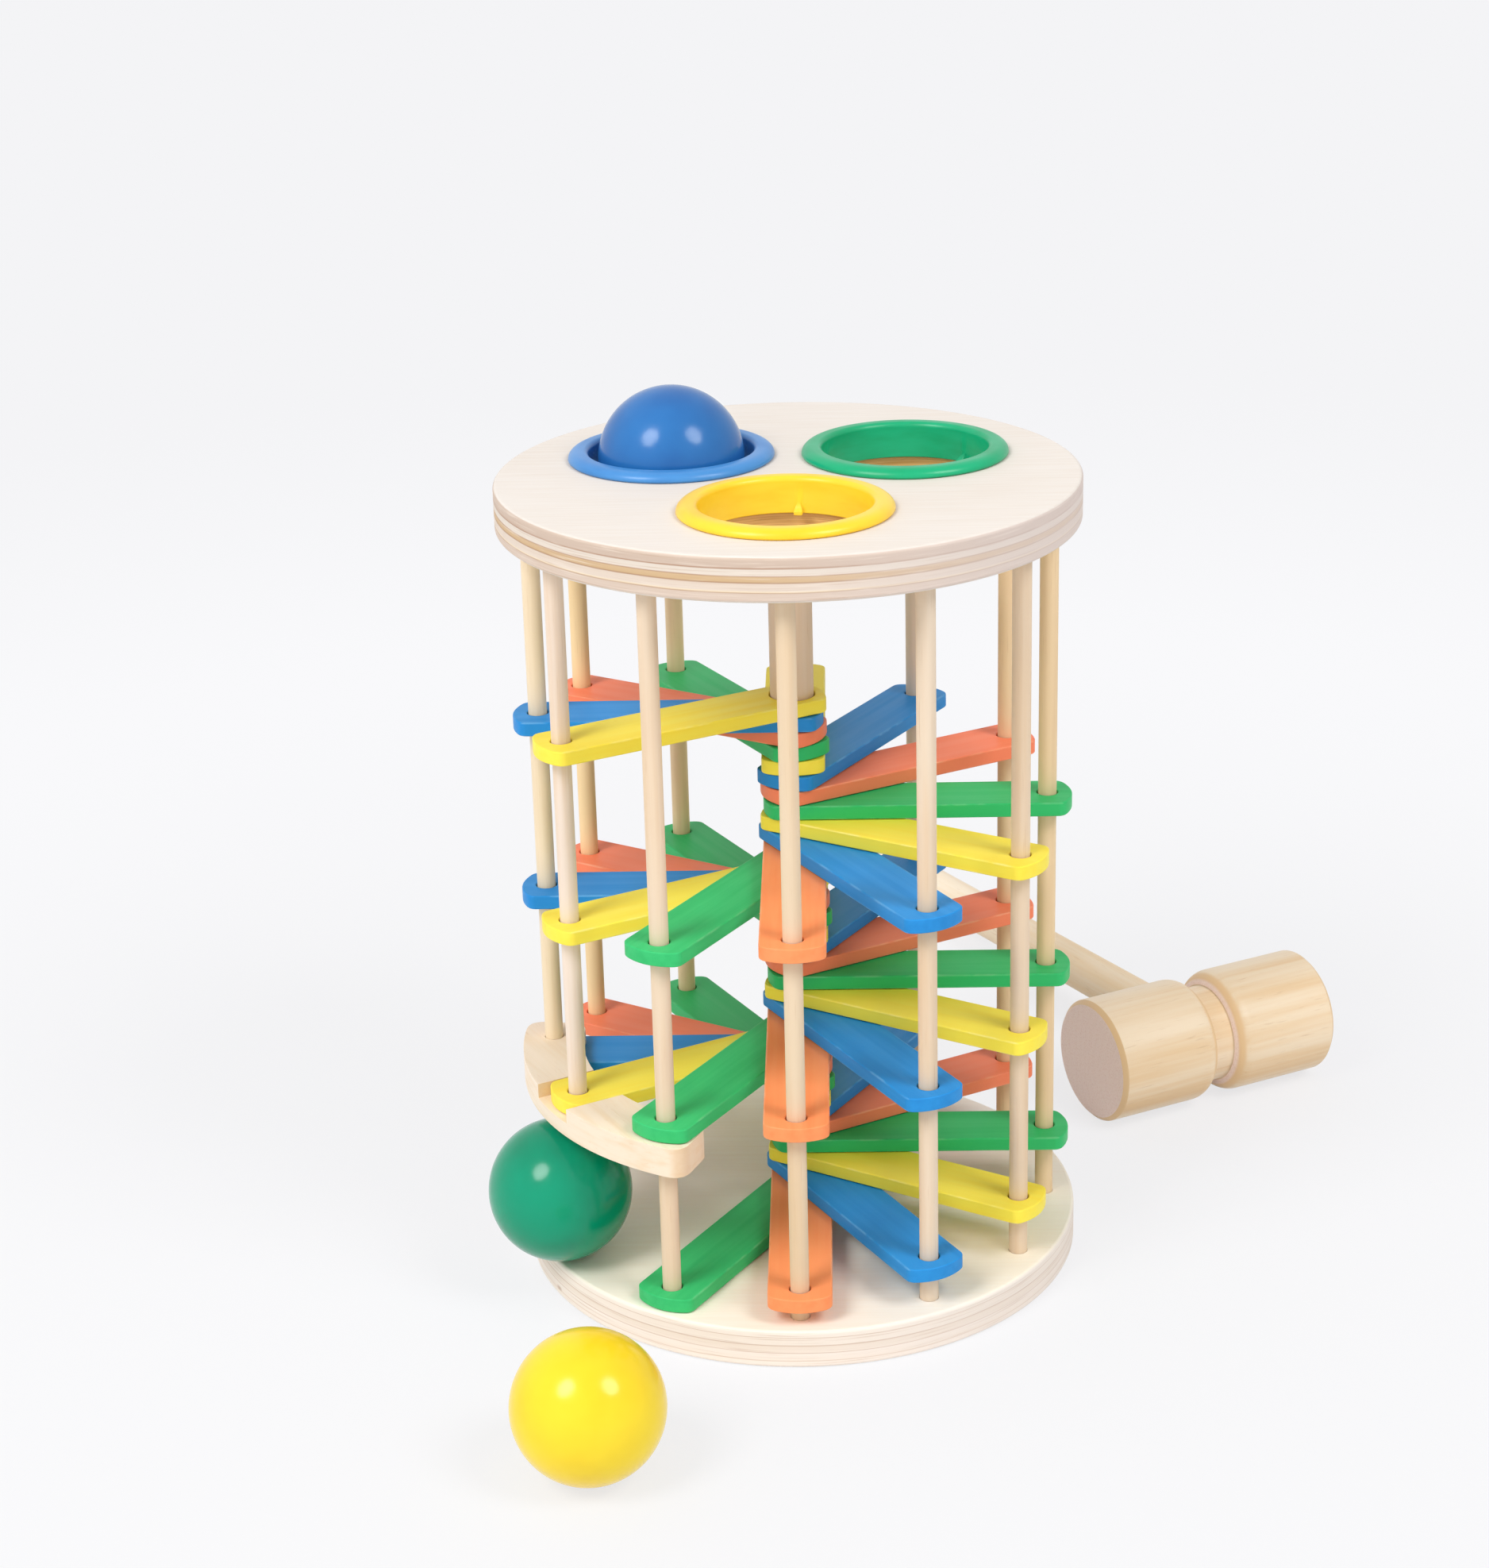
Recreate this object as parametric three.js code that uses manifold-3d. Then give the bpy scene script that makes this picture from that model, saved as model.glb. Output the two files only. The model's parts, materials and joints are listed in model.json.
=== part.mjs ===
// Ball pounding tower: two round plywood plates joined by a post and twelve dowels, with a spiral stair of
// painted steps between them. A ball is pounded through one of three plastic rings in the top plate, rolls
// down the stair and leaves under the exit arch. A wooden mallet and three balls belong to it.
// Millimetres, +Z up, origin at the centre of the base plate's underside. The front is -Y.

import * as THREE from 'three';
import { mergeVertices } from 'three/addons/utils/BufferGeometryUtils.js';
import Module from 'manifold-3d';

const wasm = await Module();
wasm.setup();

// Balls, which set the height of the exit and so the rise of the stair
const BALL_D = 47;
const GATE_CLEARANCE = 3;
const DROP_CLEARANCE = 12;
const BALL_DROP = 0.5;
const BALL_SEAT_GAP = 0.1;
const EXIT_BALL_INSET = 4;
const EXIT_BALL_ANGLE = -153;
const FLOOR_BALL_X = -62;
const FLOOR_BALL_Y = -151;

// Plates
const PLATE_RIM = 10;
const BASE_T = 13;
const TOP_T = 14;
const PLATE_EDGE_R = 1;

// Post and dowels
const POST_D = 14;
const POST_SEAT = 9;
const DOWEL_D = 6;
const DOWEL_CIRCLE_R = 82;
const DOWEL_SEAT = 8;
const GLUE_GAP = 0.15;
const SEAT_END_GAP = 0.3;

// Stair: each step is turned by one dowel and raised by its own thickness
const TURNS = 3;
const STEPS_PER_TURN = 12;
const STEP_GAP = 0.25;
const STEP_W = 20.5;
const STEP_TAIL = 10;
const STEP_NOSE = 8;
const STEP_CORNER_R = 2;
const STEP_CROWN = 3.2;
const STEP_HOLE_GAP = 0.4;

// Exit arch, two steps thick
const ARCH_STEPS = 2;
const ARCH_INSIDE = 10;
const ARCH_OVERHANG = 10.5;
const ARCH_CORNER_R = 6;
const ARCH_LAP_GAP = 0.3;
const ARCH_SKIN = 1.5;

// Rings in the top plate
const RING_PLAY = 2.9;
const RING_WALL = 2.1;
const RING_LIP_W = 6.6;
const RING_LIP_H = 3.2;
const RING_OUTER_ROUND = 2.4;
const RING_INNER_ROUND = 1.4;
const RING_TUBE_H = 8.5;
const RING_GAP = 0.3;
const RING_SEAT_GAP = 0.1;
const NUB_COUNT = 3;
const NUB_W = 2.6;
const NUB_H = 6;
const NUB_RAMP = 2.5;
const NUB_GAP = 0.3;

// Mallet, lying on the floor behind the tower
const HEAD_D = 45;
const HEAD_L = 92;
const HEAD_CHAMFER = 1.6;
const WAIST_D = 35;
const WAIST_FLAT = 8;
const SHOULDER_L = 6;
const HANDLE_D = 16;
const HANDLE_REACH = 245;
const HANDLE_GAP = 0.3;
const HEAD_SKIN = 4;
const MALLET_X = 145;
const MALLET_Y = 101;
const MALLET_TURN = 28;

// Facets
const PLATE_SIDES = 72;
const POST_SIDES = 16;
const DOWEL_SIDES = 10;
const RING_SIDES = 32;
const BALL_SIDES = 24;
const BALL_RINGS = 16;
const HEAD_SIDES = 32;
const HANDLE_SIDES = 16;
const CORNER_FACETS = 3;
const ARC_FACETS = 6;
const CUT_PAST = 1;
const MERGE_WITHIN = 0.0001;

// Places worked out from the sizes above
const PLATE_R = DOWEL_CIRCLE_R + PLATE_RIM;
const BALL_R = BALL_D / 2;
const STEP_COUNT = TURNS * STEPS_PER_TURN;
const LAP_STEP = STEPS_PER_TURN - ARCH_STEPS;
const NOTCH_STEP = LAP_STEP + 1;
const STEP_PITCH = (BALL_D + GATE_CLEARANCE) / LAP_STEP;
const STEP_T = STEP_PITCH - STEP_GAP;
const TOP_UNDER = BASE_T + STEP_COUNT * STEP_PITCH + BALL_D + DROP_CLEARANCE;
const TOP_FACE = TOP_UNDER + TOP_T;
const LANE_R = (POST_D / 2 + DOWEL_CIRCLE_R - DOWEL_D / 2) / 2;
const RING_BORE_R = BALL_R + RING_PLAY;
const RING_TUBE_R = RING_BORE_R + RING_WALL;
const DOWEL_TURN = 2 * Math.PI / STEPS_PER_TURN;
const FRONT_DOWEL = 1;
const FRONT_ANGLE = -90;
const ARCH_UNDER = BASE_T + LAP_STEP * STEP_PITCH;
const ARCH_NOTCH = BASE_T + NOTCH_STEP * STEP_PITCH;
const ARCH_TOP = BASE_T + STEPS_PER_TURN * STEP_PITCH;
const HANDLE_SEAT = WAIST_D / 2 - HEAD_SKIN;

const WOOD = { color: 0xead7b8, roughness: 0.6, metalness: 0 };
const BEECH = { color: 0xe0bd8c, roughness: 0.5, metalness: 0 };
const PAINT = {
  green: { color: 0x2fa24f, roughness: 0.45, metalness: 0 },
  orange: { color: 0xee6a3c, roughness: 0.45, metalness: 0 },
  blue: { color: 0x2f72c4, roughness: 0.45, metalness: 0 },
  yellow: { color: 0xf7de2c, roughness: 0.45, metalness: 0 },
};
const STEP_COLOURS = ['green', 'orange', 'blue', 'yellow'];
const RINGS = [
  { name: 'blue', angle: 150, nubAngle: 60 },
  { name: 'yellow', angle: 270, nubAngle: 82 },
  { name: 'green', angle: 30, nubAngle: 42 },
];
const BALL_PAINT = {
  blue: { color: 0x2456b0, roughness: 0.15, metalness: 0 },
  green: { color: 0x0c8a5a, roughness: 0.15, metalness: 0 },
  yellow: { color: 0xf8d810, roughness: 0.15, metalness: 0 },
};
const RING_PLASTIC = {
  blue: { color: 0x3f78cc, roughness: 0.25, metalness: 0 },
  green: { color: 0x0fa060, roughness: 0.25, metalness: 0 },
  yellow: { color: 0xfbd92a, roughness: 0.25, metalness: 0 },
};

const toy = new THREE.Group();

function radians(degrees) {
  return degrees * Math.PI / 180;
}

function dowelAngle(index) {
  return radians(FRONT_ANGLE) + (index - FRONT_DOWEL) * DOWEL_TURN;
}

function polar(radius, angle) {
  return new THREE.Vector2(radius * Math.cos(angle), radius * Math.sin(angle));
}

// Turns a closed geometry into a solid that can be joined and cut
function toSolid(geometry) {
  const bare = geometry.index ? geometry.toNonIndexed() : geometry.clone();
  bare.deleteAttribute('normal');
  bare.deleteAttribute('uv');
  const merged = mergeVertices(bare, MERGE_WITHIN);
  return new wasm.Manifold(new wasm.Mesh({
    numProp: 3,
    vertProperties: new Float32Array(merged.attributes.position.array),
    triVerts: new Uint32Array(merged.index.array),
  }));
}

function toGeometry(solid) {
  const mesh = solid.getMesh();
  const geometry = new THREE.BufferGeometry();
  geometry.setAttribute('position', new THREE.BufferAttribute(mesh.vertProperties.slice(), 3));
  geometry.setIndex(new THREE.BufferAttribute(mesh.triVerts.slice(), 1));
  geometry.computeVertexNormals();
  return geometry;
}

// Angles of a quarter turn in equal parts, both ends included
function quarter(facets) {
  return Array.from({ length: facets + 1 }, (_, i) => Math.PI / 2 * i / facets);
}

function subtractAll(solid, cutters) {
  return cutters.reduce((left, cutter) => left.subtract(cutter), solid);
}

function addMesh(parent, name, geometry, finish) {
  const mesh = new THREE.Mesh(geometry, new THREE.MeshStandardMaterial(finish));
  mesh.name = name;
  parent.add(mesh);
  return mesh;
}

// Upright round bar from one height to another
function bar(radius, low, high, sides, at = new THREE.Vector2()) {
  const geometry = new THREE.CylinderGeometry(radius, radius, high - low, sides);
  geometry.rotateX(Math.PI / 2);
  geometry.translate(at.x, at.y, (low + high) / 2);
  return geometry;
}

// Round cutter whose flats, not its corners, lie at the radius
function drill(radius, low, high, sides, at) {
  return toSolid(bar(radius / Math.cos(Math.PI / sides), low, high, sides, at));
}

// Solid of revolution about +Z from a closed list of [radius, height] points
function turned(points, sides) {
  const geometry = new THREE.LatheGeometry(points.map(([r, z]) => new THREE.Vector2(r, z)), sides);
  geometry.rotateX(Math.PI / 2);
  return geometry;
}

function plate(low, high) {
  return turned([
    [0, low],
    [PLATE_R - PLATE_EDGE_R, low],
    [PLATE_R, low + PLATE_EDGE_R],
    [PLATE_R, high - PLATE_EDGE_R],
    [PLATE_R - PLATE_EDGE_R, high],
    [0, high],
  ], PLATE_SIDES);
}

// The two dowels over the exit end in the arch, the others in the base plate
function dowelFoot(index) {
  if (index === LAP_STEP) {
    return ARCH_UNDER + STEP_GAP + SEAT_END_GAP;
  }
  if (index === NOTCH_STEP) {
    return ARCH_UNDER + ARCH_SKIN + SEAT_END_GAP;
  }
  return BASE_T - DOWEL_SEAT + SEAT_END_GAP;
}

function standsOnBase(index) {
  return index !== LAP_STEP && index !== NOTCH_STEP;
}

function dowelIndices() {
  return Array.from({ length: STEPS_PER_TURN }, (_, index) => index);
}

function addPlates() {
  const dowelHole = DOWEL_D / 2 + GLUE_GAP;
  const postHole = POST_D / 2 + GLUE_GAP;
  const centre = new THREE.Vector2();
  const baseCuts = dowelIndices().filter(standsOnBase).map((index) => drill(
    dowelHole, BASE_T - DOWEL_SEAT, BASE_T + CUT_PAST, DOWEL_SIDES,
    polar(DOWEL_CIRCLE_R, dowelAngle(index)),
  ));
  baseCuts.push(drill(postHole, BASE_T - POST_SEAT, BASE_T + CUT_PAST, POST_SIDES, centre));
  addMesh(toy, 'base_plate', toGeometry(subtractAll(toSolid(plate(0, BASE_T)), baseCuts)), WOOD);

  const topCuts = dowelIndices().map((index) => drill(
    dowelHole, TOP_UNDER - CUT_PAST, TOP_UNDER + DOWEL_SEAT, DOWEL_SIDES,
    polar(DOWEL_CIRCLE_R, dowelAngle(index)),
  ));
  topCuts.push(drill(postHole, TOP_UNDER - CUT_PAST, TOP_UNDER + POST_SEAT, POST_SIDES, centre));
  for (const { angle } of RINGS) {
    const at = polar(LANE_R, radians(angle));
    topCuts.push(drill(RING_TUBE_R + RING_GAP, TOP_UNDER - CUT_PAST, TOP_FACE + CUT_PAST, RING_SIDES, at));
  }
  addMesh(toy, 'top_plate', toGeometry(subtractAll(toSolid(plate(TOP_UNDER, TOP_FACE)), topCuts)), WOOD);
}

function addPostAndDowels() {
  const postLow = BASE_T - POST_SEAT + SEAT_END_GAP;
  const postHigh = TOP_UNDER + POST_SEAT - SEAT_END_GAP;
  addMesh(toy, 'centre_post', bar(POST_D / 2, postLow, postHigh, POST_SIDES), WOOD);
  for (const index of dowelIndices()) {
    const at = polar(DOWEL_CIRCLE_R, dowelAngle(index));
    const high = TOP_UNDER + DOWEL_SEAT - SEAT_END_GAP;
    const rod = bar(DOWEL_D / 2, dowelFoot(index), high, DOWEL_SIDES, at);
    addMesh(toy, `dowel_${String(index).padStart(2, '0')}`, rod, WOOD);
  }
}

function roundHole(x, radius, sides) {
  const reach = radius / Math.cos(Math.PI / sides);
  const points = Array.from({ length: sides }, (_, i) => {
    const around = polar(reach, -2 * Math.PI * (i + 0.5) / sides);
    return new THREE.Vector2(x + around.x, around.y);
  });
  return new THREE.Path().setFromPoints(points);
}

// Outline of one end of a step, seen from above: an arc across it, with a small round at both corners.
// The way is 1 for the nose and -1 for the tail.
function stepEnd(tip, way) {
  const half = way * STEP_W / 2;
  const side = tip - way * STEP_CROWN;
  const back = side - way * STEP_CORNER_R;
  const trim = STEP_CORNER_R / STEP_W;
  const first = new THREE.Vector2(side, -half);
  const last = new THREE.Vector2(side, half);
  const arc = new THREE.QuadraticBezierCurve(first, new THREE.Vector2(tip + way * STEP_CROWN, 0), last);
  const crown = Array.from({ length: ARC_FACETS + 1 }, (_, i) => arc.getPoint(
    trim + (1 - 2 * trim) * i / ARC_FACETS,
  ));
  const cornerIn = new THREE.QuadraticBezierCurve(new THREE.Vector2(back, -half), first, crown[0]);
  const cornerOut = new THREE.QuadraticBezierCurve(crown[ARC_FACETS], last, new THREE.Vector2(back, half));
  return [
    ...cornerIn.getPoints(CORNER_FACETS).slice(0, -1),
    ...crown,
    ...cornerOut.getPoints(CORNER_FACETS).slice(1),
  ];
}

// Flat step along +X: the post's hole is at the origin and the dowel's hole on the dowel circle
function stepShape() {
  const shape = new THREE.Shape([
    ...stepEnd(DOWEL_CIRCLE_R + STEP_NOSE, 1),
    ...stepEnd(-STEP_TAIL, -1),
  ]);
  shape.holes.push(roundHole(0, POST_D / 2 + STEP_HOLE_GAP, POST_SIDES));
  shape.holes.push(roundHole(DOWEL_CIRCLE_R, DOWEL_D / 2 + STEP_HOLE_GAP, DOWEL_SIDES));
  return shape;
}

function addSteps() {
  const geometry = new THREE.ExtrudeGeometry(stepShape(), { depth: STEP_T, bevelEnabled: false });
  for (let index = 0; index < STEP_COUNT; index += 1) {
    const colour = STEP_COLOURS[index % STEP_COLOURS.length];
    const step = addMesh(toy, `step_${String(index).padStart(2, '0')}`, geometry, PAINT[colour]);
    step.position.z = BASE_T + STEP_GAP + index * STEP_PITCH;
    step.rotation.z = dowelAngle(index);
  }
}

// Plan of the arch: a piece of a ring, flush with the plates' rim, with rounded corners at both ends
function archShape(startAngle, endAngle) {
  const outer = PLATE_R;
  const inner = DOWEL_CIRCLE_R - ARCH_INSIDE;
  const outerCorner = ARCH_CORNER_R / outer;
  const innerCorner = ARCH_CORNER_R / inner;
  const shape = new THREE.Shape();
  const roundTo = (corner, end) => shape.quadraticCurveTo(corner.x, corner.y, end.x, end.y);
  const lineTo = (end) => shape.lineTo(end.x, end.y);
  shape.absarc(0, 0, outer, startAngle + outerCorner, endAngle - outerCorner, false);
  roundTo(polar(outer, endAngle), polar(outer - ARCH_CORNER_R, endAngle));
  lineTo(polar(inner + ARCH_CORNER_R, endAngle));
  roundTo(polar(inner, endAngle), polar(inner, endAngle - innerCorner));
  shape.absarc(0, 0, inner, endAngle - innerCorner, startAngle + innerCorner, true);
  roundTo(polar(inner, startAngle), polar(inner + ARCH_CORNER_R, startAngle));
  lineTo(polar(outer - ARCH_CORNER_R, startAngle));
  roundTo(polar(outer, startAngle), polar(outer, startAngle + outerCorner));
  return shape;
}

// Straight channel for a step, from the post out past the rim, with extra room on one side if asked
function stepChannel(index, low, high, extra = 0) {
  const length = PLATE_R + CUT_PAST;
  const width = STEP_W + 2 * ARCH_LAP_GAP + extra;
  const box = new THREE.BoxGeometry(length, width, high - low);
  box.translate(length / 2, -extra / 2, (low + high) / 2);
  box.rotateZ(dowelAngle(index));
  return toSolid(box);
}

function addArch() {
  const overhang = ARCH_OVERHANG / DOWEL_CIRCLE_R;
  const start = dowelAngle(LAP_STEP) - overhang;
  const end = dowelAngle(STEPS_PER_TURN) + overhang;
  const block = new THREE.ExtrudeGeometry(archShape(start, end), {
    depth: ARCH_TOP - ARCH_UNDER, bevelEnabled: false, curveSegments: ARC_FACETS,
  });
  block.translate(0, 0, ARCH_UNDER);
  const hole = DOWEL_D / 2 + GLUE_GAP;
  const at = (index) => polar(DOWEL_CIRCLE_R, dowelAngle(index));
  const past = ARCH_TOP + CUT_PAST;
  const arch = subtractAll(toSolid(block), [
    stepChannel(NOTCH_STEP, ARCH_NOTCH, past),
    stepChannel(LAP_STEP, ARCH_UNDER - CUT_PAST, ARCH_NOTCH + STEP_GAP, 2 * ARCH_OVERHANG),
    drill(hole, ARCH_NOTCH, past, DOWEL_SIDES, at(LAP_STEP)),
    drill(hole, ARCH_UNDER + ARCH_SKIN, past, DOWEL_SIDES, at(NOTCH_STEP)),
    drill(hole, ARCH_UNDER - CUT_PAST, past, DOWEL_SIDES, at(STEPS_PER_TURN)),
  ]);
  addMesh(toy, 'exit_arch', toGeometry(arch), WOOD);
}

// Lip, tube and bore of a ring, with the plate's upper face at height 0
function ringBody() {
  const lip = RING_BORE_R + RING_LIP_W;
  const arcs = quarter(CORNER_FACETS);
  const outerArc = arcs.map((turn) => [
    lip - RING_OUTER_ROUND * (1 - Math.cos(turn)), RING_LIP_H - RING_OUTER_ROUND * (1 - Math.sin(turn)),
  ]);
  const innerArc = arcs.map((turn) => [
    RING_BORE_R + RING_INNER_ROUND * (1 - Math.sin(turn)),
    RING_LIP_H - RING_INNER_ROUND * (1 - Math.cos(turn)),
  ]);
  return turned([
    [RING_BORE_R, -RING_TUBE_H],
    [RING_TUBE_R, -RING_TUBE_H],
    [RING_TUBE_R, RING_SEAT_GAP],
    [lip, RING_SEAT_GAP],
    ...outerArc,
    ...innerArc,
    [RING_BORE_R, -RING_TUBE_H],
  ], RING_SIDES);
}

// Small tooth on the tube's lower end, sloped on top; a ball squeezes past the three of them
function nubGeometry(turn) {
  const tip = BALL_R + NUB_GAP;
  const root = RING_BORE_R + RING_WALL / 2;
  const low = -RING_TUBE_H;
  const high = low + NUB_H;
  const profile = new THREE.Shape([
    new THREE.Vector2(root, low),
    new THREE.Vector2(root, high),
    new THREE.Vector2(RING_BORE_R, high),
    new THREE.Vector2(tip, high - NUB_RAMP),
    new THREE.Vector2(tip, low),
  ]);
  const geometry = new THREE.ExtrudeGeometry(profile, { depth: NUB_W, bevelEnabled: false });
  geometry.translate(0, 0, -NUB_W / 2);
  geometry.rotateX(Math.PI / 2);
  geometry.rotateZ(turn);
  return geometry;
}

function addRings() {
  for (const { name, angle, nubAngle } of RINGS) {
    let solid = toSolid(ringBody());
    for (let nub = 0; nub < NUB_COUNT; nub += 1) {
      solid = solid.add(toSolid(nubGeometry(radians(nubAngle) + 2 * Math.PI * nub / NUB_COUNT)));
    }
    const ring = addMesh(toy, `${name}_ring`, toGeometry(solid), RING_PLASTIC[name]);
    const at = polar(LANE_R, radians(angle));
    ring.position.set(at.x, at.y, TOP_FACE);
  }
}

function addBall(name, x, y, z) {
  const geometry = new THREE.SphereGeometry(BALL_R, BALL_SIDES, BALL_RINGS);
  geometry.rotateX(Math.PI / 2);
  addMesh(toy, `${name}_ball`, geometry, BALL_PAINT[name]).position.set(x, y, z);
}

function addBalls() {
  const seat = polar(LANE_R, radians(RINGS[0].angle));
  addBall('blue', seat.x, seat.y, TOP_FACE - BALL_DROP);
  const exit = polar(PLATE_R - EXIT_BALL_INSET, radians(EXIT_BALL_ANGLE));
  addBall('green', exit.x, exit.y, BASE_T + BALL_SEAT_GAP + BALL_R);
  addBall('yellow', FLOOR_BALL_X, FLOOR_BALL_Y, BALL_R);
}

// Head of the mallet along +X about its middle: two barrels with round shoulders and a narrow waist
function headGeometry() {
  const radius = HEAD_D / 2;
  const waist = WAIST_D / 2;
  const half = HEAD_L / 2;
  const shoulder = quarter(CORNER_FACETS).map((turn) => [
    waist + (radius - waist) * Math.sin(turn), WAIST_FLAT / 2 + SHOULDER_L * (1 - Math.cos(turn)),
  ]);
  const barrel = [...shoulder, [radius, half - HEAD_CHAMFER], [radius - HEAD_CHAMFER, half], [0, half]];
  const mirrored = barrel.map(([r, x]) => [r, -x]).reverse();
  const geometry = turned([...mirrored, ...barrel], HEAD_SIDES);
  geometry.rotateY(Math.PI / 2);
  return geometry;
}

// Handle along +Y from inside the head to its domed end
function handleGeometry() {
  const radius = HANDLE_D / 2;
  const foot = HANDLE_GAP - HANDLE_SEAT;
  const dome = quarter(CORNER_FACETS).map((turn) => [
    radius * Math.cos(turn), HANDLE_REACH - radius * (1 - Math.sin(turn)),
  ]);
  const geometry = turned([[0, foot], [radius, foot], ...dome], HANDLE_SIDES);
  geometry.rotateX(-Math.PI / 2);
  return geometry;
}

function addMallet() {
  const lie = new THREE.Group();
  lie.position.set(MALLET_X, MALLET_Y, HEAD_D / 2);
  lie.rotation.z = radians(MALLET_TURN);
  const lean = new THREE.Group();
  lean.rotation.x = -Math.asin((HEAD_D - HANDLE_D) / 2 / (HANDLE_REACH - HANDLE_D / 2));
  lie.add(lean);
  toy.add(lie);
  const holeReach = (HANDLE_D / 2 + HANDLE_GAP) / Math.cos(Math.PI / HANDLE_SIDES);
  const hole = bar(holeReach, -HANDLE_SEAT, HEAD_D, HANDLE_SIDES);
  hole.rotateX(-Math.PI / 2);
  addMesh(lean, 'mallet_head', toGeometry(toSolid(headGeometry()).subtract(toSolid(hole))), BEECH);
  addMesh(lean, 'mallet_handle', handleGeometry(), BEECH);
}

addPlates();
addPostAndDowels();
addSteps();
addArch();
addRings();
addBalls();
addMallet();

export default toy;
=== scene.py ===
"""Looks of a wooden ball pounding tower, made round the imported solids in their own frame.

Two plywood discs stand on a post and twelve dowels, with a spiral stair of painted steps between them. Three
plastic rings, three lacquered balls and a turned mallet go with the tower. Metres, +Z up, the front at -Y.
"""

import json
import logging
import math
from collections.abc import Iterator, Sequence
from dataclasses import dataclass, field
from enum import Enum
from typing import ClassVar

import bmesh
import bpy
from mathutils import Matrix, Vector, noise


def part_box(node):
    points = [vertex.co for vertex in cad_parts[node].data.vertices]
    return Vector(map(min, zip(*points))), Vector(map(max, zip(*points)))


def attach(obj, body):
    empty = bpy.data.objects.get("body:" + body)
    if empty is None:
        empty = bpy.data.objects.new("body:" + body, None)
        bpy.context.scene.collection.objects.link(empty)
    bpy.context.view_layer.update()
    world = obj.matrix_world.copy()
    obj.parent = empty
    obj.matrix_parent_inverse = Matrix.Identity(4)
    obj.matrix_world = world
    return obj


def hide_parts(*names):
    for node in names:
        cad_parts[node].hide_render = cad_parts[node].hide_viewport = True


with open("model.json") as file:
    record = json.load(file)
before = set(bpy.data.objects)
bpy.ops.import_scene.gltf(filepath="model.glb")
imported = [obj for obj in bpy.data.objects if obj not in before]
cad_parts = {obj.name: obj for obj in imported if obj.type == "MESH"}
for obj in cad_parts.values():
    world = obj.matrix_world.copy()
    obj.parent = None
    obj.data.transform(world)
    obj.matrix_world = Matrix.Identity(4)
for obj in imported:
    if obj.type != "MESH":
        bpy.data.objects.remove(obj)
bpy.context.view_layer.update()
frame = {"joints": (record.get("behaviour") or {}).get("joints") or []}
LOG = logging.getLogger("pounding_tower")

MM = 0.001
CUT_PAST = 1.0 * MM
ON_AXIS = 1e-7
WELD = 0.002 * MM
DRILL_SIDES = 64
EASE_ANGLE = math.radians(38)
EASE_PARTS = 3
FLAT_WEIGHT = 50

Point = tuple[float, float]
Triple = tuple[float, float, float]
Stops = tuple[tuple[float, str], ...]
Form = bmesh.types.BMesh
Piece = bpy.types.Object
Material = bpy.types.Material
Socket = bpy.types.NodeSocket
Outputs = bpy.types.bpy_prop_collection
Feeds = dict[str | int, object]


class Hue(Enum):
    """Colour names of the painted, lacquered and moulded pieces."""

    GREEN = "green"
    ORANGE = "orange"
    BLUE = "blue"
    YELLOW = "yellow"


class Body(Enum):
    """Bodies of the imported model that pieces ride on."""

    TOWER = "tower"
    BLUE_BALL = "blue_ball"
    GREEN_BALL = "green_ball"
    YELLOW_BALL = "yellow_ball"
    MALLET = "mallet"


class Joinery(Enum):
    """Ways to work one solid with another."""

    TAKE_AWAY = "DIFFERENCE"
    ADD_ON = "UNION"


class Seen(Enum):
    """Coordinates that a finish reads from the piece itself."""

    PLACE = "Object"
    FACING = "Normal"


def linear(code: str) -> Triple:
    """Turns a colour written as #rrggbb, as a screen shows it, into linear light."""
    parts = [int(code[i:i + 2], 16) / 255 for i in (1, 3, 5)]
    return tuple(c / 12.92 if c <= 0.04045 else ((c + 0.055) / 1.055) ** 2.4 for c in parts)


def middle(node: str) -> Vector:
    """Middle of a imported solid's box."""
    low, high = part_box(node)
    return (low + high) / 2


def size(node: str) -> Vector:
    """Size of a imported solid's box along each axis."""
    low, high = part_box(node)
    return high - low


FIRST_DOWEL = middle("dowel_00").xy
DOWELS = 12
DOWEL_R = max(size("dowel_00").xy) / 2
DOWEL_CIRCLE = FIRST_DOWEL.length
DOWEL_START = math.atan2(FIRST_DOWEL.y, FIRST_DOWEL.x)
DOWEL_TURN = 2 * math.pi / DOWELS
POST_R = size("centre_post").x / 2


def dowel_angle(number: int) -> float:
    """Angle of a dowel round the tower."""
    return DOWEL_START + number * DOWEL_TURN


class Tree:
    """Node tree, with a short call for a new node."""

    def __init__(self, tree: bpy.types.NodeTree) -> None:
        """Takes the tree that the nodes go into."""
        self.tree = tree

    def feed(self, node: bpy.types.Node, feeds: Feeds) -> None:
        """Links a node's inputs to other nodes, or sets their own values.

        Args:
            node: The node.
            feeds: Output sockets, numbers, vectors or colour codes, by the input's name or place.
        """
        for label, value in feeds.items():
            socket = node.inputs[label]
            if isinstance(value, Socket):
                self.tree.links.new(value, socket)
            else:
                socket.default_value = (*linear(value), 1.0) if socket.type == "RGBA" else value

    def add(self, kind: str, feeds: Feeds | None = None, **settings: object) -> Outputs:
        """Adds a node.

        Args:
            kind: The node's type.
            feeds: What its inputs get.
            settings: Its own settings.

        Returns:
            The node's outputs.
        """
        node = self.tree.nodes.new(kind)
        for label, value in settings.items():
            setattr(node, label, value)
        self.feed(node, feeds or {})
        return node.outputs

    def calc(self, rule: str, *values: object) -> Socket:
        """Works out a number from others by a named rule."""
        return self.add("ShaderNodeMath", dict(enumerate(values)), operation=rule)[0]


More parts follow.
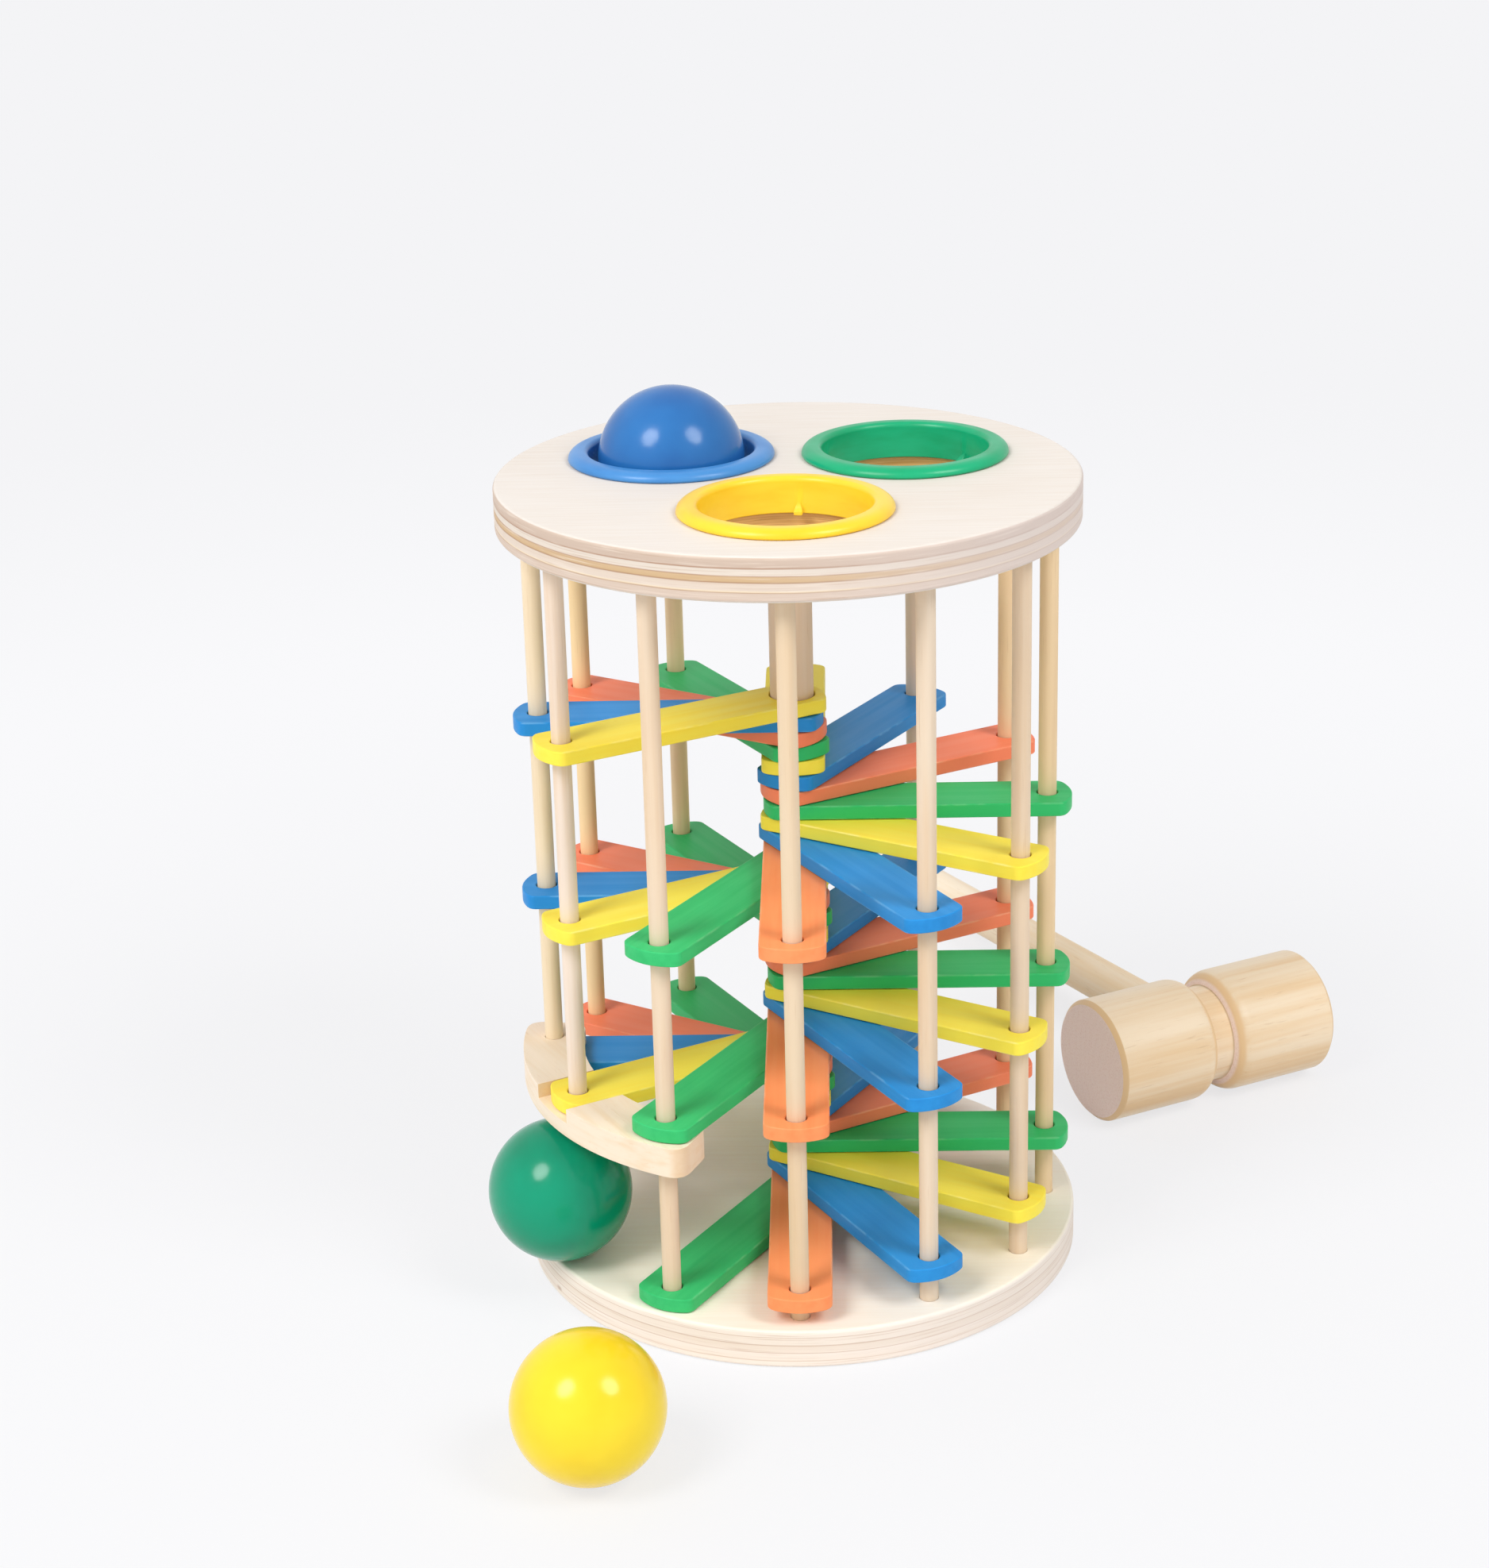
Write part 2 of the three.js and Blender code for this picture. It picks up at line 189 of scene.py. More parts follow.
class ShaderTree(Tree):
    """Shader nodes of a finish or of the surroundings."""

    def seen(self, what: Seen) -> Socket:
        """Gives a point's place or facing on the piece."""
        return self.add("ShaderNodeTexCoord")[what.value]

    def mark(self, name: str, output: str) -> Socket:
        """Gives an attribute that the mesh carries, as a Vector or as the number Fac."""
        return self.add("ShaderNodeAttribute", attribute_name=name)[output]

    def along(self, what: Seen, centre: Vector, axes: Matrix) -> Socket:
        """Gives a point's place or facing along a piece's own axes.

        Args:
            what: Place or facing.
            centre: Middle of the piece.
            axes: The piece's axes, one in each column.

        Returns:
            The coordinates.
        """
        if what is Seen.FACING:
            feeds = {"Vector": self.seen(what), "Rotation": axes.transposed().to_euler()}
            return self.add("ShaderNodeMapping", feeds, vector_type="NORMAL")[0]
        feeds = {"Vector": self.seen(what), "Rotation": axes.to_euler(), "Location": centre}
        return self.add("ShaderNodeMapping", feeds, vector_type="TEXTURE")[0]

    def parts(self, vector: Socket) -> tuple[Socket, ...]:
        """Splits a vector into its three parts."""
        return tuple(self.add("ShaderNodeSeparateXYZ", {0: vector}))

    def away(self, first: Socket, second: Socket) -> Socket:
        """Distance from an axis, from the two parts across it."""
        squares = [self.calc("POWER", part, 2.0) for part in (first, second)]
        return self.calc("SQRT", self.calc("ADD", *squares))

    def weigh(self, first: Socket, one: float, second: Socket, two: float) -> Socket:
        """Adds two patterns, each times a number."""
        return self.calc("ADD", self.calc("MULTIPLY", first, one), self.calc("MULTIPLY", second, two))

    def stretch(self, vector: Socket, scale: Triple) -> Socket:
        """Stretches coordinates by a number along each axis."""
        return self.add("ShaderNodeMapping", {"Vector": vector, "Scale": scale})[0]

    def cloud(self, vector: Socket, scale: float | Triple, detail: float = 3.0,
              shift: object = 0.0) -> Socket:
        """Soft irregular pattern between 0 and 1.

        Args:
            vector: Coordinates.
            scale: Patches in a metre, the same all round or along each axis.
            detail: Layers of finer patches.
            shift: Number that picks another pattern of the same kind.

        Returns:
            The pattern's strength.
        """
        if isinstance(scale, tuple):
            vector, scale = self.stretch(vector, scale), 1.0
        feeds = {"Vector": vector, "W": shift, "Scale": scale, "Detail": detail}
        return self.add("ShaderNodeTexNoise", feeds, noise_dimensions="4D")["Fac"]

    def span(self, value: Socket, start: float, end: float, low: float = 0.0, high: float = 1.0) -> Socket:
        """Eases from a low to a high number while a value goes from a start to an end."""
        feeds = dict(enumerate((value, start, end, low, high)))
        return self.add("ShaderNodeMapRange", feeds, interpolation_type="SMOOTHSTEP")[0]

    def mix(self, share: object, first: object, second: object) -> Socket:
        """Mixes two colours by the second one's share."""
        return self.add("ShaderNodeMix", {0: share, 6: first, 7: second}, data_type="RGBA")[2]

    def tint(self, under: object, over: object, value: Socket, start: float, end: float,
             most: float = 1.0) -> Socket:
        """Mixes a colour over another, up to a share, while a value goes from a start to an end."""
        return self.mix(self.span(value, start, end, 0.0, most), under, over)

    def bands(self, value: Socket, stops: Stops, blend: bool = True) -> Socket:
        """Colours that follow each other along a value.

        Args:
            value: Where a point lies between 0 and 1.
            stops: Place and colour of each stop.
            blend: False where one colour ends and the next starts at once.

        Returns:
            The colour at the value.
        """
        node = self.tree.nodes.new("ShaderNodeValToRGB")
        ramp = node.color_ramp
        ramp.interpolation = "LINEAR" if blend else "CONSTANT"
        while len(ramp.elements) < len(stops):
            ramp.elements.new(1.0)
        for element, (at, code) in zip(ramp.elements, stops):
            element.position = at
            element.color = (*linear(code), 1.0)
        self.feed(node, {"Fac": value})
        return node.outputs["Color"]

    def backdrop_rays(self) -> Socket:
        """Tells the rays that see the pale backdrop from those that only bring light.

        Returns:
            1 for camera, glossy and transmission rays, 0 for the rest.
        """
        rays = self.add("ShaderNodeLightPath")
        mirrored = self.calc("MAXIMUM", rays["Is Glossy Ray"], rays["Is Transmission Ray"])
        return self.calc("MAXIMUM", rays["Is Camera Ray"], mirrored)

    def blend(self, share: Socket, first: Socket, second: Socket) -> Socket:
        """Blends two shaders by the second one's share."""
        return self.add("ShaderNodeMixShader", {0: share, 1: first, 2: second})[0]


class FinishNodes(ShaderTree):
    """Nodes of one finish."""

    def __init__(self, name: str) -> None:
        """Starts a material that holds only its surface shader.

        Args:
            name: The material's name.
        """
        self.material = bpy.data.materials.new(name)
        self.material.use_nodes = True
        super().__init__(self.material.node_tree)
        self.surface = self.tree.nodes["Principled BSDF"]

    def finish(self, colour: Socket, roughness: object, height: Socket, depth: float,
               gloss: float) -> Material:
        """Feeds the surface shader.

        Args:
            colour: Base colour.
            roughness: Roughness.
            height: Pattern that the surface rises and falls with.
            depth: How far it rises, in metres.
            gloss: Specular level.

        Returns:
            The finished material.
        """
        bump = self.add("ShaderNodeBump", {"Height": height, "Distance": depth})[0]
        self.feed(self.surface, {"Base Color": colour, "Roughness": roughness, "Normal": bump,
                                 "Specular IOR Level": gloss})
        return self.material


@dataclass(frozen=True)
class PlywoodFinish:
    """Birch plywood: pale veneer on the faces, uneven plies round the edge, and raw wood in the bores painted
    a darker brown as the shade inside them.
    """

    name: str
    node: str
    plies: Stops
    veneer: str = "#e7dfd7"
    veneer_dark: str = "#dccebf"
    fleck: str = "#d3b68f"
    streak: str = "#bd9a7c"
    pale: str = "#efe2d4"
    # Painted light: a pale grey that the plies wash out to towards +X, and its share.
    painted_light_grey: str = "#e0d3ce"
    painted_light_grey_share: float = 0.62
    # Painted shade: the raw wood of the bore walls is coloured darker brown for the shade inside the holes.
    painted_bore_shade: str = "#e6b878"
    painted_bore_shade_dark: str = "#c4924e"
    rim: float = 6.0 * MM
    wander: float = 0.9 * MM
    knot: str = "#9a6a44"
    knot_cell: Triple = (0.42, 0.42, 1.0)
    knot_scale: float = 62.0
    knot_size: float = 0.085
    knot_core: float = 0.35
    knot_share: float = 0.9
    knot_strength: float = 0.8
    gloss: float = 0.3
    depth: float = 0.03 * MM

    def knots(self, nodes: ShaderTree, place: Socket) -> Socket:
        """Strength of sparse small knots.

        Args:
            nodes: The finish's nodes.
            place: A point's place.

        Returns:
            The strength, 0 between the knots.
        """
        feeds = {"Vector": nodes.stretch(place, self.knot_cell), "Scale": self.knot_scale}
        cells = nodes.add("ShaderNodeTexVoronoi", feeds)
        inside = nodes.span(cells["Distance"], self.knot_size, self.knot_size * self.knot_core)
        red = nodes.add("ShaderNodeSeparateColor", {0: cells["Color"]})["Red"]
        chosen = nodes.calc("LESS_THAN", red, self.knot_share)
        return nodes.calc("MULTIPLY", nodes.calc("MULTIPLY", inside, chosen), self.knot_strength)

    def edge(self, nodes: ShaderTree, place: Socket, streak: Socket) -> Socket:
        """Colour of the plies round the edge, with short dark marks.

        Args:
            nodes: The finish's nodes.
            place: A point's place.
            streak: Pattern of thin streaks along the plies.

        Returns:
            The colour.
        """
        low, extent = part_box(self.node)[0].z, size(self.node)
        x, _, z = nodes.parts(place)
        wave = nodes.cloud(place, (26, 26, 40))
        lift = nodes.calc("MULTIPLY", nodes.calc("SUBTRACT", wave, 0.5), self.wander)
        height = nodes.calc("ADD", nodes.calc("SUBTRACT", z, low), lift)
        colour = nodes.bands(nodes.calc("DIVIDE", height, extent.z), self.plies)
        colour = nodes.tint(colour, self.streak, streak, 0.52, 0.76, 0.55)
        thin = nodes.cloud(place, (55, 55, 1500), 3.0, 4.0)
        colour = nodes.tint(colour, self.pale, thin, 0.5, 0.75, 0.5)
        # Painted light: the plies wash out to a pale grey towards +X, where the light falls on that side of
        # the edge.
        colour = nodes.tint(colour, self.painted_light_grey, x, -0.1 * extent.x, 0.45 * extent.x, self.painted_light_grey_share)
        return nodes.mix(self.knots(nodes, place), colour, self.knot)

    def material(self) -> Material:
        """Builds the plywood's nodes.

        Returns:
            The material.
        """
        nodes = FinishNodes(self.name)
        place = nodes.seen(Seen.PLACE)
        x, y, _ = nodes.parts(place)
        facing = nodes.parts(nodes.seen(Seen.FACING))[2]
        flat = nodes.span(nodes.calc("ABSOLUTE", facing), 0.55, 0.85)
        radius = size(self.node).x / 2
        outside = nodes.span(nodes.away(x, y), radius - 2 * self.rim, radius - self.rim)
        fibre = nodes.cloud(place, (30, 800, 90), 5.0)
        streak = nodes.cloud(place, (38, 38, 2600), 4.0)
        # Painted shade: the bore walls are raw wood painted a darker brown for the shade inside the holes.
        bore = nodes.tint(self.painted_bore_shade, self.painted_bore_shade_dark, streak, 0.35, 0.7)
        side = nodes.mix(outside, bore, self.edge(nodes, place, streak))
        tone = nodes.weigh(fibre, 0.6, nodes.cloud(place, 16.0), 0.5)
        face = nodes.tint(self.veneer, self.veneer_dark, tone, 0.42, 0.8, 0.5)
        fine = nodes.cloud(place, (90, 2400, 200), 2.0)
        face = nodes.tint(face, self.fleck, fine, 0.62, 0.8, 0.14)
        colour = nodes.mix(flat, side, face)
        roughness = nodes.span(fibre, 0.2, 0.8, 0.5, 0.64)
        grain = nodes.calc("ADD", nodes.calc("MULTIPLY", fibre, flat), streak)
        return nodes.finish(colour, roughness, grain, self.depth, self.gloss)


@dataclass(frozen=True)
class RodFinish:
    """Pale turned wood with its grain along the rod; each rod has a tint of its own, partly its own tone and
    partly painted light and shade: rods at the front are a little darker and rods in shadow at the back
    paler.
    """

    name: str
    # Partly each rod's own tone, partly painted light and shade by where the rod stands round the tower.
    tones_and_painted_light: tuple[str, ...] = (
        "#e9d3b9", "#e6d0b2", "#e8d5be", "#e9d2b7", "#f1d5ab", "#efcfa6", "#edd8c2",
        "#ecceaa", "#f6deb4", "#f7d8a5", "#f2dfc0", "#f0dfd0", "#ebd3bb",
    )
    grain: str = "#dcb98e"
    pore: str = "#c79f74"
    apart: float = 3.7
    gloss: float = 0.3
    depth: float = 0.03 * MM

    def material(self) -> Material:
        """Builds the rod wood's nodes from the piece's own grain coordinates.

        Returns:
            The material.
        """
        nodes = FinishNodes(self.name)
        grain = nodes.mark("grain", "Vector")
        piece = nodes.mark("piece", "Fac")
        number = nodes.calc("MULTIPLY", piece, self.apart)
        line = nodes.cloud(grain, (420, 420, 9), 4.0, number)
        pore = nodes.cloud(grain, (1500, 1500, 55), 2.0, number)
        patch = nodes.cloud(grain, (40, 40, 12), 2.0, number)
        count = len(self.tones_and_painted_light)
        share = nodes.calc("DIVIDE", nodes.calc("ADD", piece, 0.5), count)
        colour = nodes.bands(share, [(i / count, tint) for i, tint in enumerate(self.tones_and_painted_light)], blend=False)
        colour = nodes.tint(colour, self.grain, nodes.weigh(line, 0.6, patch, 0.5), 0.42, 0.8, 0.55)
        colour = nodes.tint(colour, self.pore, pore, 0.62, 0.78, 0.3)
        roughness = nodes.span(line, 0.3, 0.7, 0.46, 0.6)
        return nodes.finish(colour, roughness, nodes.calc("ADD", line, pore), self.depth, self.gloss)


@dataclass(frozen=True)
class ArchFinish:
    """Pale close-grained wood, its grain along the arch."""

    name: str
    centre: Vector
    axes: Matrix
    light: str = "#f8e6d0"
    dark: str = "#eed3b0"
    pore: str = "#dcb68a"
    cut: str = "#e0bb8f"
    gloss: float = 0.35
    depth: float = 0.03 * MM

    def material(self) -> Material:
        """Builds the arch wood's nodes.

        Returns:
            The material.
        """
        nodes = FinishNodes(self.name)
        own = nodes.along(Seen.PLACE, self.centre, self.axes)
        line = nodes.cloud(own, (16, 260, 420), 4.0)
        pore = nodes.cloud(own, (140, 1300, 1300), 2.0)
        lean = nodes.calc("ABSOLUTE", nodes.parts(nodes.along(Seen.FACING, self.centre, self.axes))[0])
        colour = nodes.tint(self.light, self.dark, line, 0.4, 0.8, 0.7)
        colour = nodes.tint(colour, self.pore, pore, 0.6, 0.78, 0.3)
        colour = nodes.tint(colour, self.cut, lean, 0.6, 0.95, 0.55)
        roughness = nodes.span(line, 0.3, 0.7, 0.46, 0.6)
        return nodes.finish(colour, roughness, nodes.calc("ADD", line, pore), self.depth, self.gloss)


@dataclass(frozen=True)
class StepFinish:
    """Thin matt paint on wood: the grain shows through, and edges are rubbed a little paler. Steps at the
    back of the tower get a painted shade, a slightly deeper tint of their paint.
    """

    name: str
    paint: str
    shade: str
    rubbed: str
    # Painted shade: the deeper tint that the steps at the back of the tower are mixed towards.
    painted_shade_behind: str
    half_width: float
    thickness: float
    painted_shade_step: float = 7.0
    painted_shade_span: Point = (4.5, 2.5)
    corner: Point = (0.75 * MM, 0.2 * MM)
    wear: float = 0.45
    apart: float = 2.3
    gloss: float = 0.22
    depth: float = 0.02 * MM

    def material(self) -> Material:
        """Builds the paint's nodes from the step's own coordinates.

        Returns:
            The material.
        """
        nodes = FinishNodes(self.name)
        grain = nodes.mark("grain", "Vector")
        piece = nodes.mark("piece", "Fac")
        number = nodes.calc("MULTIPLY", piece, self.apart)
        line = nodes.cloud(grain, (13, 340, 340), 4.0, number)
        fine = nodes.cloud(grain, (160, 2200, 2200), 2.0, number)
        patch = nodes.cloud(grain, (34, 60, 60), 3.0, number)
        colour = nodes.tint(self.paint, self.shade, nodes.weigh(line, 0.65, patch, 0.45), 0.4, 0.8, 0.7)
        # Painted shade: steps near the back of the tower, about dowel 7, are mixed towards a deeper tint of
        # their paint.
        turn = nodes.calc("SUBTRACT", nodes.calc("MODULO", piece, float(DOWELS)), self.painted_shade_step)
        colour = nodes.tint(colour, self.painted_shade_behind, nodes.calc("ABSOLUTE", turn), *self.painted_shade_span, 0.7)
        colour = nodes.tint(colour, self.shade, fine, 0.62, 0.82, 0.25)

        _, y, z = nodes.parts(grain)
        side = nodes.calc("SUBTRACT", self.half_width, nodes.calc("ABSOLUTE", y))
        middle_z = nodes.calc("ABSOLUTE", nodes.calc("SUBTRACT", z, self.thickness / 2))
        face = nodes.calc("SUBTRACT", self.thickness / 2, middle_z)
        corner = nodes.span(nodes.calc("MAXIMUM", side, face), *self.corner)
        worn = nodes.span(nodes.cloud(grain, (120, 300, 300), 3.0, number), 0.4, 0.65)
        rub = nodes.calc("MULTIPLY", nodes.calc("MULTIPLY", corner, worn), self.wear)
        colour = nodes.mix(rub, colour, self.rubbed)
        roughness = nodes.span(line, 0.3, 0.75, 0.4, 0.52)
        return nodes.finish(colour, roughness, nodes.calc("ADD", line, fine), self.depth, self.gloss)


@dataclass(frozen=True)
class BallFinish:
    """Lacquer on a turned ball: glossy, with slight unevenness in the coat."""

    name: str
    paint: str
    deep: str
    gloss: float = 0.32
    depth: float = 0.06 * MM

    def material(self) -> Material:
        """Builds the lacquer's nodes.

        Returns:
            The material.
        """
        nodes = FinishNodes(self.name)
        place = nodes.seen(Seen.PLACE)
        rub = nodes.cloud(place, (90, 90, 320), 4.0)
        colour = nodes.tint(self.paint, self.deep, nodes.cloud(place, 38.0), 0.36, 0.72)
        colour = nodes.tint(colour, self.deep, rub, 0.6, 0.85, 0.25)
        roughness = nodes.span(rub, 0.3, 0.8, 0.16, 0.24)
        ripple = nodes.weigh(nodes.cloud(place, 190.0, 1.0), 1.0, nodes.cloud(place, 620.0, 2.0), 0.12)
        return nodes.finish(colour, roughness, ripple, self.depth, self.gloss)


@dataclass(frozen=True)
class RingFinish:
    """Moulded plastic: even colour with faint flow marks and a soft gloss."""

    name: str
    colour: str
    deep: str
    gloss: float = 0.35
    depth: float = 0.004 * MM

    def material(self) -> Material:
        """Builds the plastic's nodes.

        Returns:
            The material.
        """
        nodes = FinishNodes(self.name)
        place = nodes.seen(Seen.PLACE)
        flow = nodes.cloud(place, (60, 60, 240))
        fine = nodes.cloud(place, 1400.0, 2.0)
        colour = nodes.tint(self.colour, self.deep, flow, 0.35, 0.75)
        roughness = nodes.span(flow, 0.3, 0.75, 0.28, 0.36)
        return nodes.finish(colour, roughness, nodes.calc("ADD", flow, fine), self.depth, self.gloss)


@dataclass(frozen=True)
class BeechFinish:
    """Turned beech: streaks along the piece, end grain on its ends and short dark flecks."""

    name: str
    centre: Vector
    axes: Matrix
    light: str = "#f9e4c6"
    streak: str = "#edc896"
    # Partly end grain, partly painted light: the end colour is made pale to lighten the end face in the
    # tower's shade.
    end: str = "#ffeae1"
    rim: str = "#f0cd9e"
    fleck: str = "#c3935f"
    ring: str = "#ecccbe"
    pith: float = 30.0 * MM
    ring_pitch: float = 1900.0
    ring_drift: float = 9.0
    ring_strength: float = 0.07
    gloss: float = 0.4
    depth: float = 0.03 * MM

    def material(self) -> Material:
        """Builds the beech's nodes, with the grain along the first of the piece's own axes.

        Returns:
            The material.
        """
        nodes = FinishNodes(self.name)
        own = nodes.along(Seen.PLACE, self.centre, self.axes)
        lean = nodes.calc("ABSOLUTE", nodes.parts(nodes.along(Seen.FACING, self.centre, self.axes))[0])
        band = nodes.cloud(own, (5, 70, 70))
        line = nodes.cloud(own, (12, 420, 420), 4.0)
        fleck = nodes.cloud(own, (110, 1300, 1300), 2.0)
        barrel = nodes.tint(self.light, self.streak, nodes.weigh(band, 0.7, line, 0.4), 0.42, 0.76)
        barrel = nodes.tint(barrel, self.fleck, fleck, 0.6, 0.78, 0.3)

        _, y, z = nodes.parts(own)
        from_pith = nodes.away(nodes.calc("ADD", y, self.pith), z)
        rings = nodes.weigh(from_pith, self.ring_pitch, band, self.ring_drift)
        rings = nodes.calc("MULTIPLY_ADD", nodes.calc("SINE", rings), 0.5, 0.5)
        end = nodes.mix(nodes.calc("MULTIPLY", rings, self.ring_strength), self.end, self.ring)
        end = nodes.tint(end, self.ring, nodes.cloud(own, 1500.0, 2.0), 0.45, 0.75, 0.55)

        # End grain on the ends, in a pale colour that also carries painted light for the end face in the
        # tower's shade.
        colour = nodes.tint(barrel, self.rim, lean, 0.35, 0.6)
        colour = nodes.tint(colour, end, lean, 0.78, 0.93)
        roughness = nodes.span(lean, 0.7, 0.95, 0.42, 0.62)
        return nodes.finish(colour, roughness, nodes.calc("ADD", line, fleck), self.depth, self.gloss)


def arc(centre: Point, reach: Point, start: float, end: float, parts: int) -> list[Point]:
    """Points along a round or oval arc between two angles in degrees, both ends included."""
    turns = [math.radians(start + (end - start) * i / parts) for i in range(parts + 1)]
    return [(centre[0] + reach[0] * math.cos(t), centre[1] + reach[1] * math.sin(t)) for t in turns]


def bend(start: Vector, corner: Vector, end: Vector, parts: int) -> list[Vector]:
    """Points along a curve that rounds off a corner, both ends included."""
    shares = [i / parts for i in range(parts + 1)]
    return [start * (1 - t) ** 2 + corner * (2 * t * (1 - t)) + end * t ** 2 for t in shares]


def polar(radius: float, angle: float) -> Vector:
    """Point at a radius and an angle in radians."""
    return Vector((radius * math.cos(angle), radius * math.sin(angle)))


def turned(profile: Sequence[Point], sides: int, hollow: bool = False) -> Form:
    """Turns a profile about +Z.

    Args:
        profile: Radius and height of each point.
        sides: Faces round the axis.
        hollow: True where the profile closes on itself round a bore.

    Returns:
        The closed form.
    """
    form = bmesh.new()
    turns = [2 * math.pi * i / sides for i in range(sides)]
    rings = []
    for radius, height in profile:
        if radius < ON_AXIS:
            rings.append([form.verts.new((0, 0, height))] * sides)
        else:
            rings.append([form.verts.new((*polar(radius, t), height)) for t in turns])
    pairs = list(zip(rings, rings[1:]))
    if hollow:
        pairs.append((rings[-1], rings[0]))
    for low, high in pairs:
        for i in range(sides):
            j = (i + 1) % sides
            form.faces.new(list(dict.fromkeys((low[i], low[j], high[j], high[i]))))
    for ring, (radius, _) in zip((rings[0], rings[-1]), (profile[0], profile[-1])):
        if not hollow and radius >= ON_AXIS:
            form.faces.new(ring)
    return form


def puck(radius: float, low: float, high: float, edge: float, parts: int, sides: int) -> Form:
    """Disc or rod on the axis with rounded rims.

    Args:
        radius: Its radius.
        low: Height of its underside.
        high: Height of its upper side.
        edge: Radius of the rims' rounding.
        parts: Faces across a rim.
        sides: Faces round the axis.

    Returns:
        The closed form.
    """
    rim, reach = radius - edge, (edge, edge)
    profile = arc((rim, low + edge), reach, -90, 0, parts) + arc((rim, high - edge), reach, 0, 90, parts)
    return turned(profile, sides)


def slab(outline: Sequence[Vector], low: float, high: float) -> Form:
    """Raises an outline to a flat slab.

    Args:
        outline: Points round the slab.
        low: Height of its underside.
        high: Height of its upper side.

    Returns:
        The closed form.
    """
    form = bmesh.new()
    under, over = ([form.verts.new((p.x, p.y, z)) for p in outline] for z in (low, high))
    form.faces.new(under)
    form.faces.new(over)
    for i, corner in enumerate(under):
        j = (i + 1) % len(under)
        form.faces.new((corner, under[j], over[j], over[i]))
    return form


def moved(form: Form, place: Matrix) -> Form:
    """Moves a form to its place."""
    bmesh.ops.transform(form, matrix=place, verts=form.verts[:])
    return form


def drill(radius: float, low: float, high: float, at: Vector, flare: float = 0.0) -> Form:
    """Round cutter, wider at its mouths where the hole's edges are eased.

    Args:
        radius: Radius of the hole.
        low: Lower end.
        high: Upper end.
        at: Place of its axis.
        flare: How far the mouths widen.

    Returns:
        The cutter.
    """
    ends, wide = flare + CUT_PAST, radius + flare
    profile = [(radius, low), (radius, high)]
    if flare:
        profile = [(wide, low), (wide, low + CUT_PAST), (radius, low + ends),
                   (radius, high - ends), (wide, high - CUT_PAST), (wide, high)]
    return moved(turned(profile, DRILL_SIDES), Matrix.Translation((at.x, at.y, 0)))


def new_piece(name: str, *forms: Form) -> Piece:
    """Makes an object of one or more forms, smooth and facing outwards.

    Args:
        name: The object's name.
        forms: Its forms, which are used up.

    Returns:
        The object, at the origin.
    """
    whole = bmesh.new()
    for form in forms:
        bmesh.ops.recalc_face_normals(form, faces=form.faces[:])
        part = bpy.data.meshes.new("part")
        form.to_mesh(part)
        form.free()
        whole.from_mesh(part)
        bpy.data.meshes.remove(part)
    mesh = bpy.data.meshes.new(name)
    whole.to_mesh(mesh)
    whole.free()
    mesh.shade_smooth()
    piece = bpy.data.objects.new(name, mesh)
    bpy.context.scene.collection.objects.link(piece)
    return piece


def settle(piece: Piece) -> Piece:
    """Turns what a piece's modifiers give into its own plain mesh.

    Args:
        piece: The piece.

    Returns:
        The same piece, without modifiers.
    """
    graph = bpy.context.evaluated_depsgraph_get()
    shaped = piece.evaluated_get(graph)
    mesh = bpy.data.meshes.new_from_object(shaped, preserve_all_data_layers=True, depsgraph=graph)
    piece.modifiers.clear()
    before, piece.data = piece.data, mesh
    bpy.data.meshes.remove(before)
    mesh.name = piece.name
    return piece


def discard(piece: Piece) -> None:
    """Takes a helper piece and its mesh out of the scene.

    Args:
        piece: The helper.
    """
    mesh = piece.data
    bpy.data.objects.remove(piece)
    bpy.data.meshes.remove(mesh)


def worked(piece: Piece, tool: Piece, way: Joinery) -> Piece:
    """Works a piece with another solid, which is used up, and welds what the cut leaves apart.

    Args:
        piece: The piece.
        tool: The solid that is taken away or added on.
        way: Which of the two.

    Returns:
        The piece with a plain mesh.
    """
    modifier = piece.modifiers.new("work", "BOOLEAN")
    modifier.object = tool
    modifier.operation = way.value
    modifier.solver = "EXACT"
    modifier.use_self = True
    settle(piece)
    discard(tool)
    form = bmesh.new()
    form.from_mesh(piece.data)
    bmesh.ops.remove_doubles(form, verts=form.verts[:], dist=WELD)
    bmesh.ops.dissolve_degenerate(form, edges=form.edges[:], dist=WELD)
    form.to_mesh(piece.data)
    form.free()
    return piece


def cut(piece: Piece, *forms: Form) -> Piece:
    """Takes forms, which are used up, out of a piece."""
    return worked(piece, new_piece("cuts", *forms), Joinery.TAKE_AWAY)


def eased(piece: Piece, width: float = 0.0) -> Piece:
    """Rounds a piece's sharp edges by a width, if it has one, and keeps its flats flat.

    Args:
        piece: The piece.
        width: How far the edges are taken back.

    Returns:
        The piece with a plain mesh.
    """
    if width:
        bevel = piece.modifiers.new("ease", "BEVEL")
        bevel.width = width
        bevel.segments = EASE_PARTS
        bevel.limit_method = "ANGLE"
        bevel.angle_limit = EASE_ANGLE
    level = piece.modifiers.new("flats", "WEIGHTED_NORMAL")
    level.mode = "FACE_AREA"
    level.weight = FLAT_WEIGHT
    return settle(piece)


def note_grain(piece: Piece) -> None:
    """Keeps a piece's own coordinates on its mesh, for a finish that follows it."""
    mark = piece.data.attributes.new("grain", "FLOAT_VECTOR", "POINT")
    mark.data.foreach_set("vector", [c for vertex in piece.data.vertices for c in vertex.co])


def dress(piece: Piece, nodes: Sequence[str], finish: Material | None = None,
          body: Body = Body.TOWER) -> Piece:
    """Gives a piece its finish, its body and the solids that it stands for.

    Args:
        piece: The finished piece.
        nodes: Solids that it replaces.
        finish: Its material, if it has none yet.
        body: The body that it rides on.

    Returns:
        The piece.
    """
    if finish is not None:
        piece.data.materials.clear()
        piece.data.materials.append(finish)
    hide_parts(*nodes)
    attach(piece, body.value)
    return piece


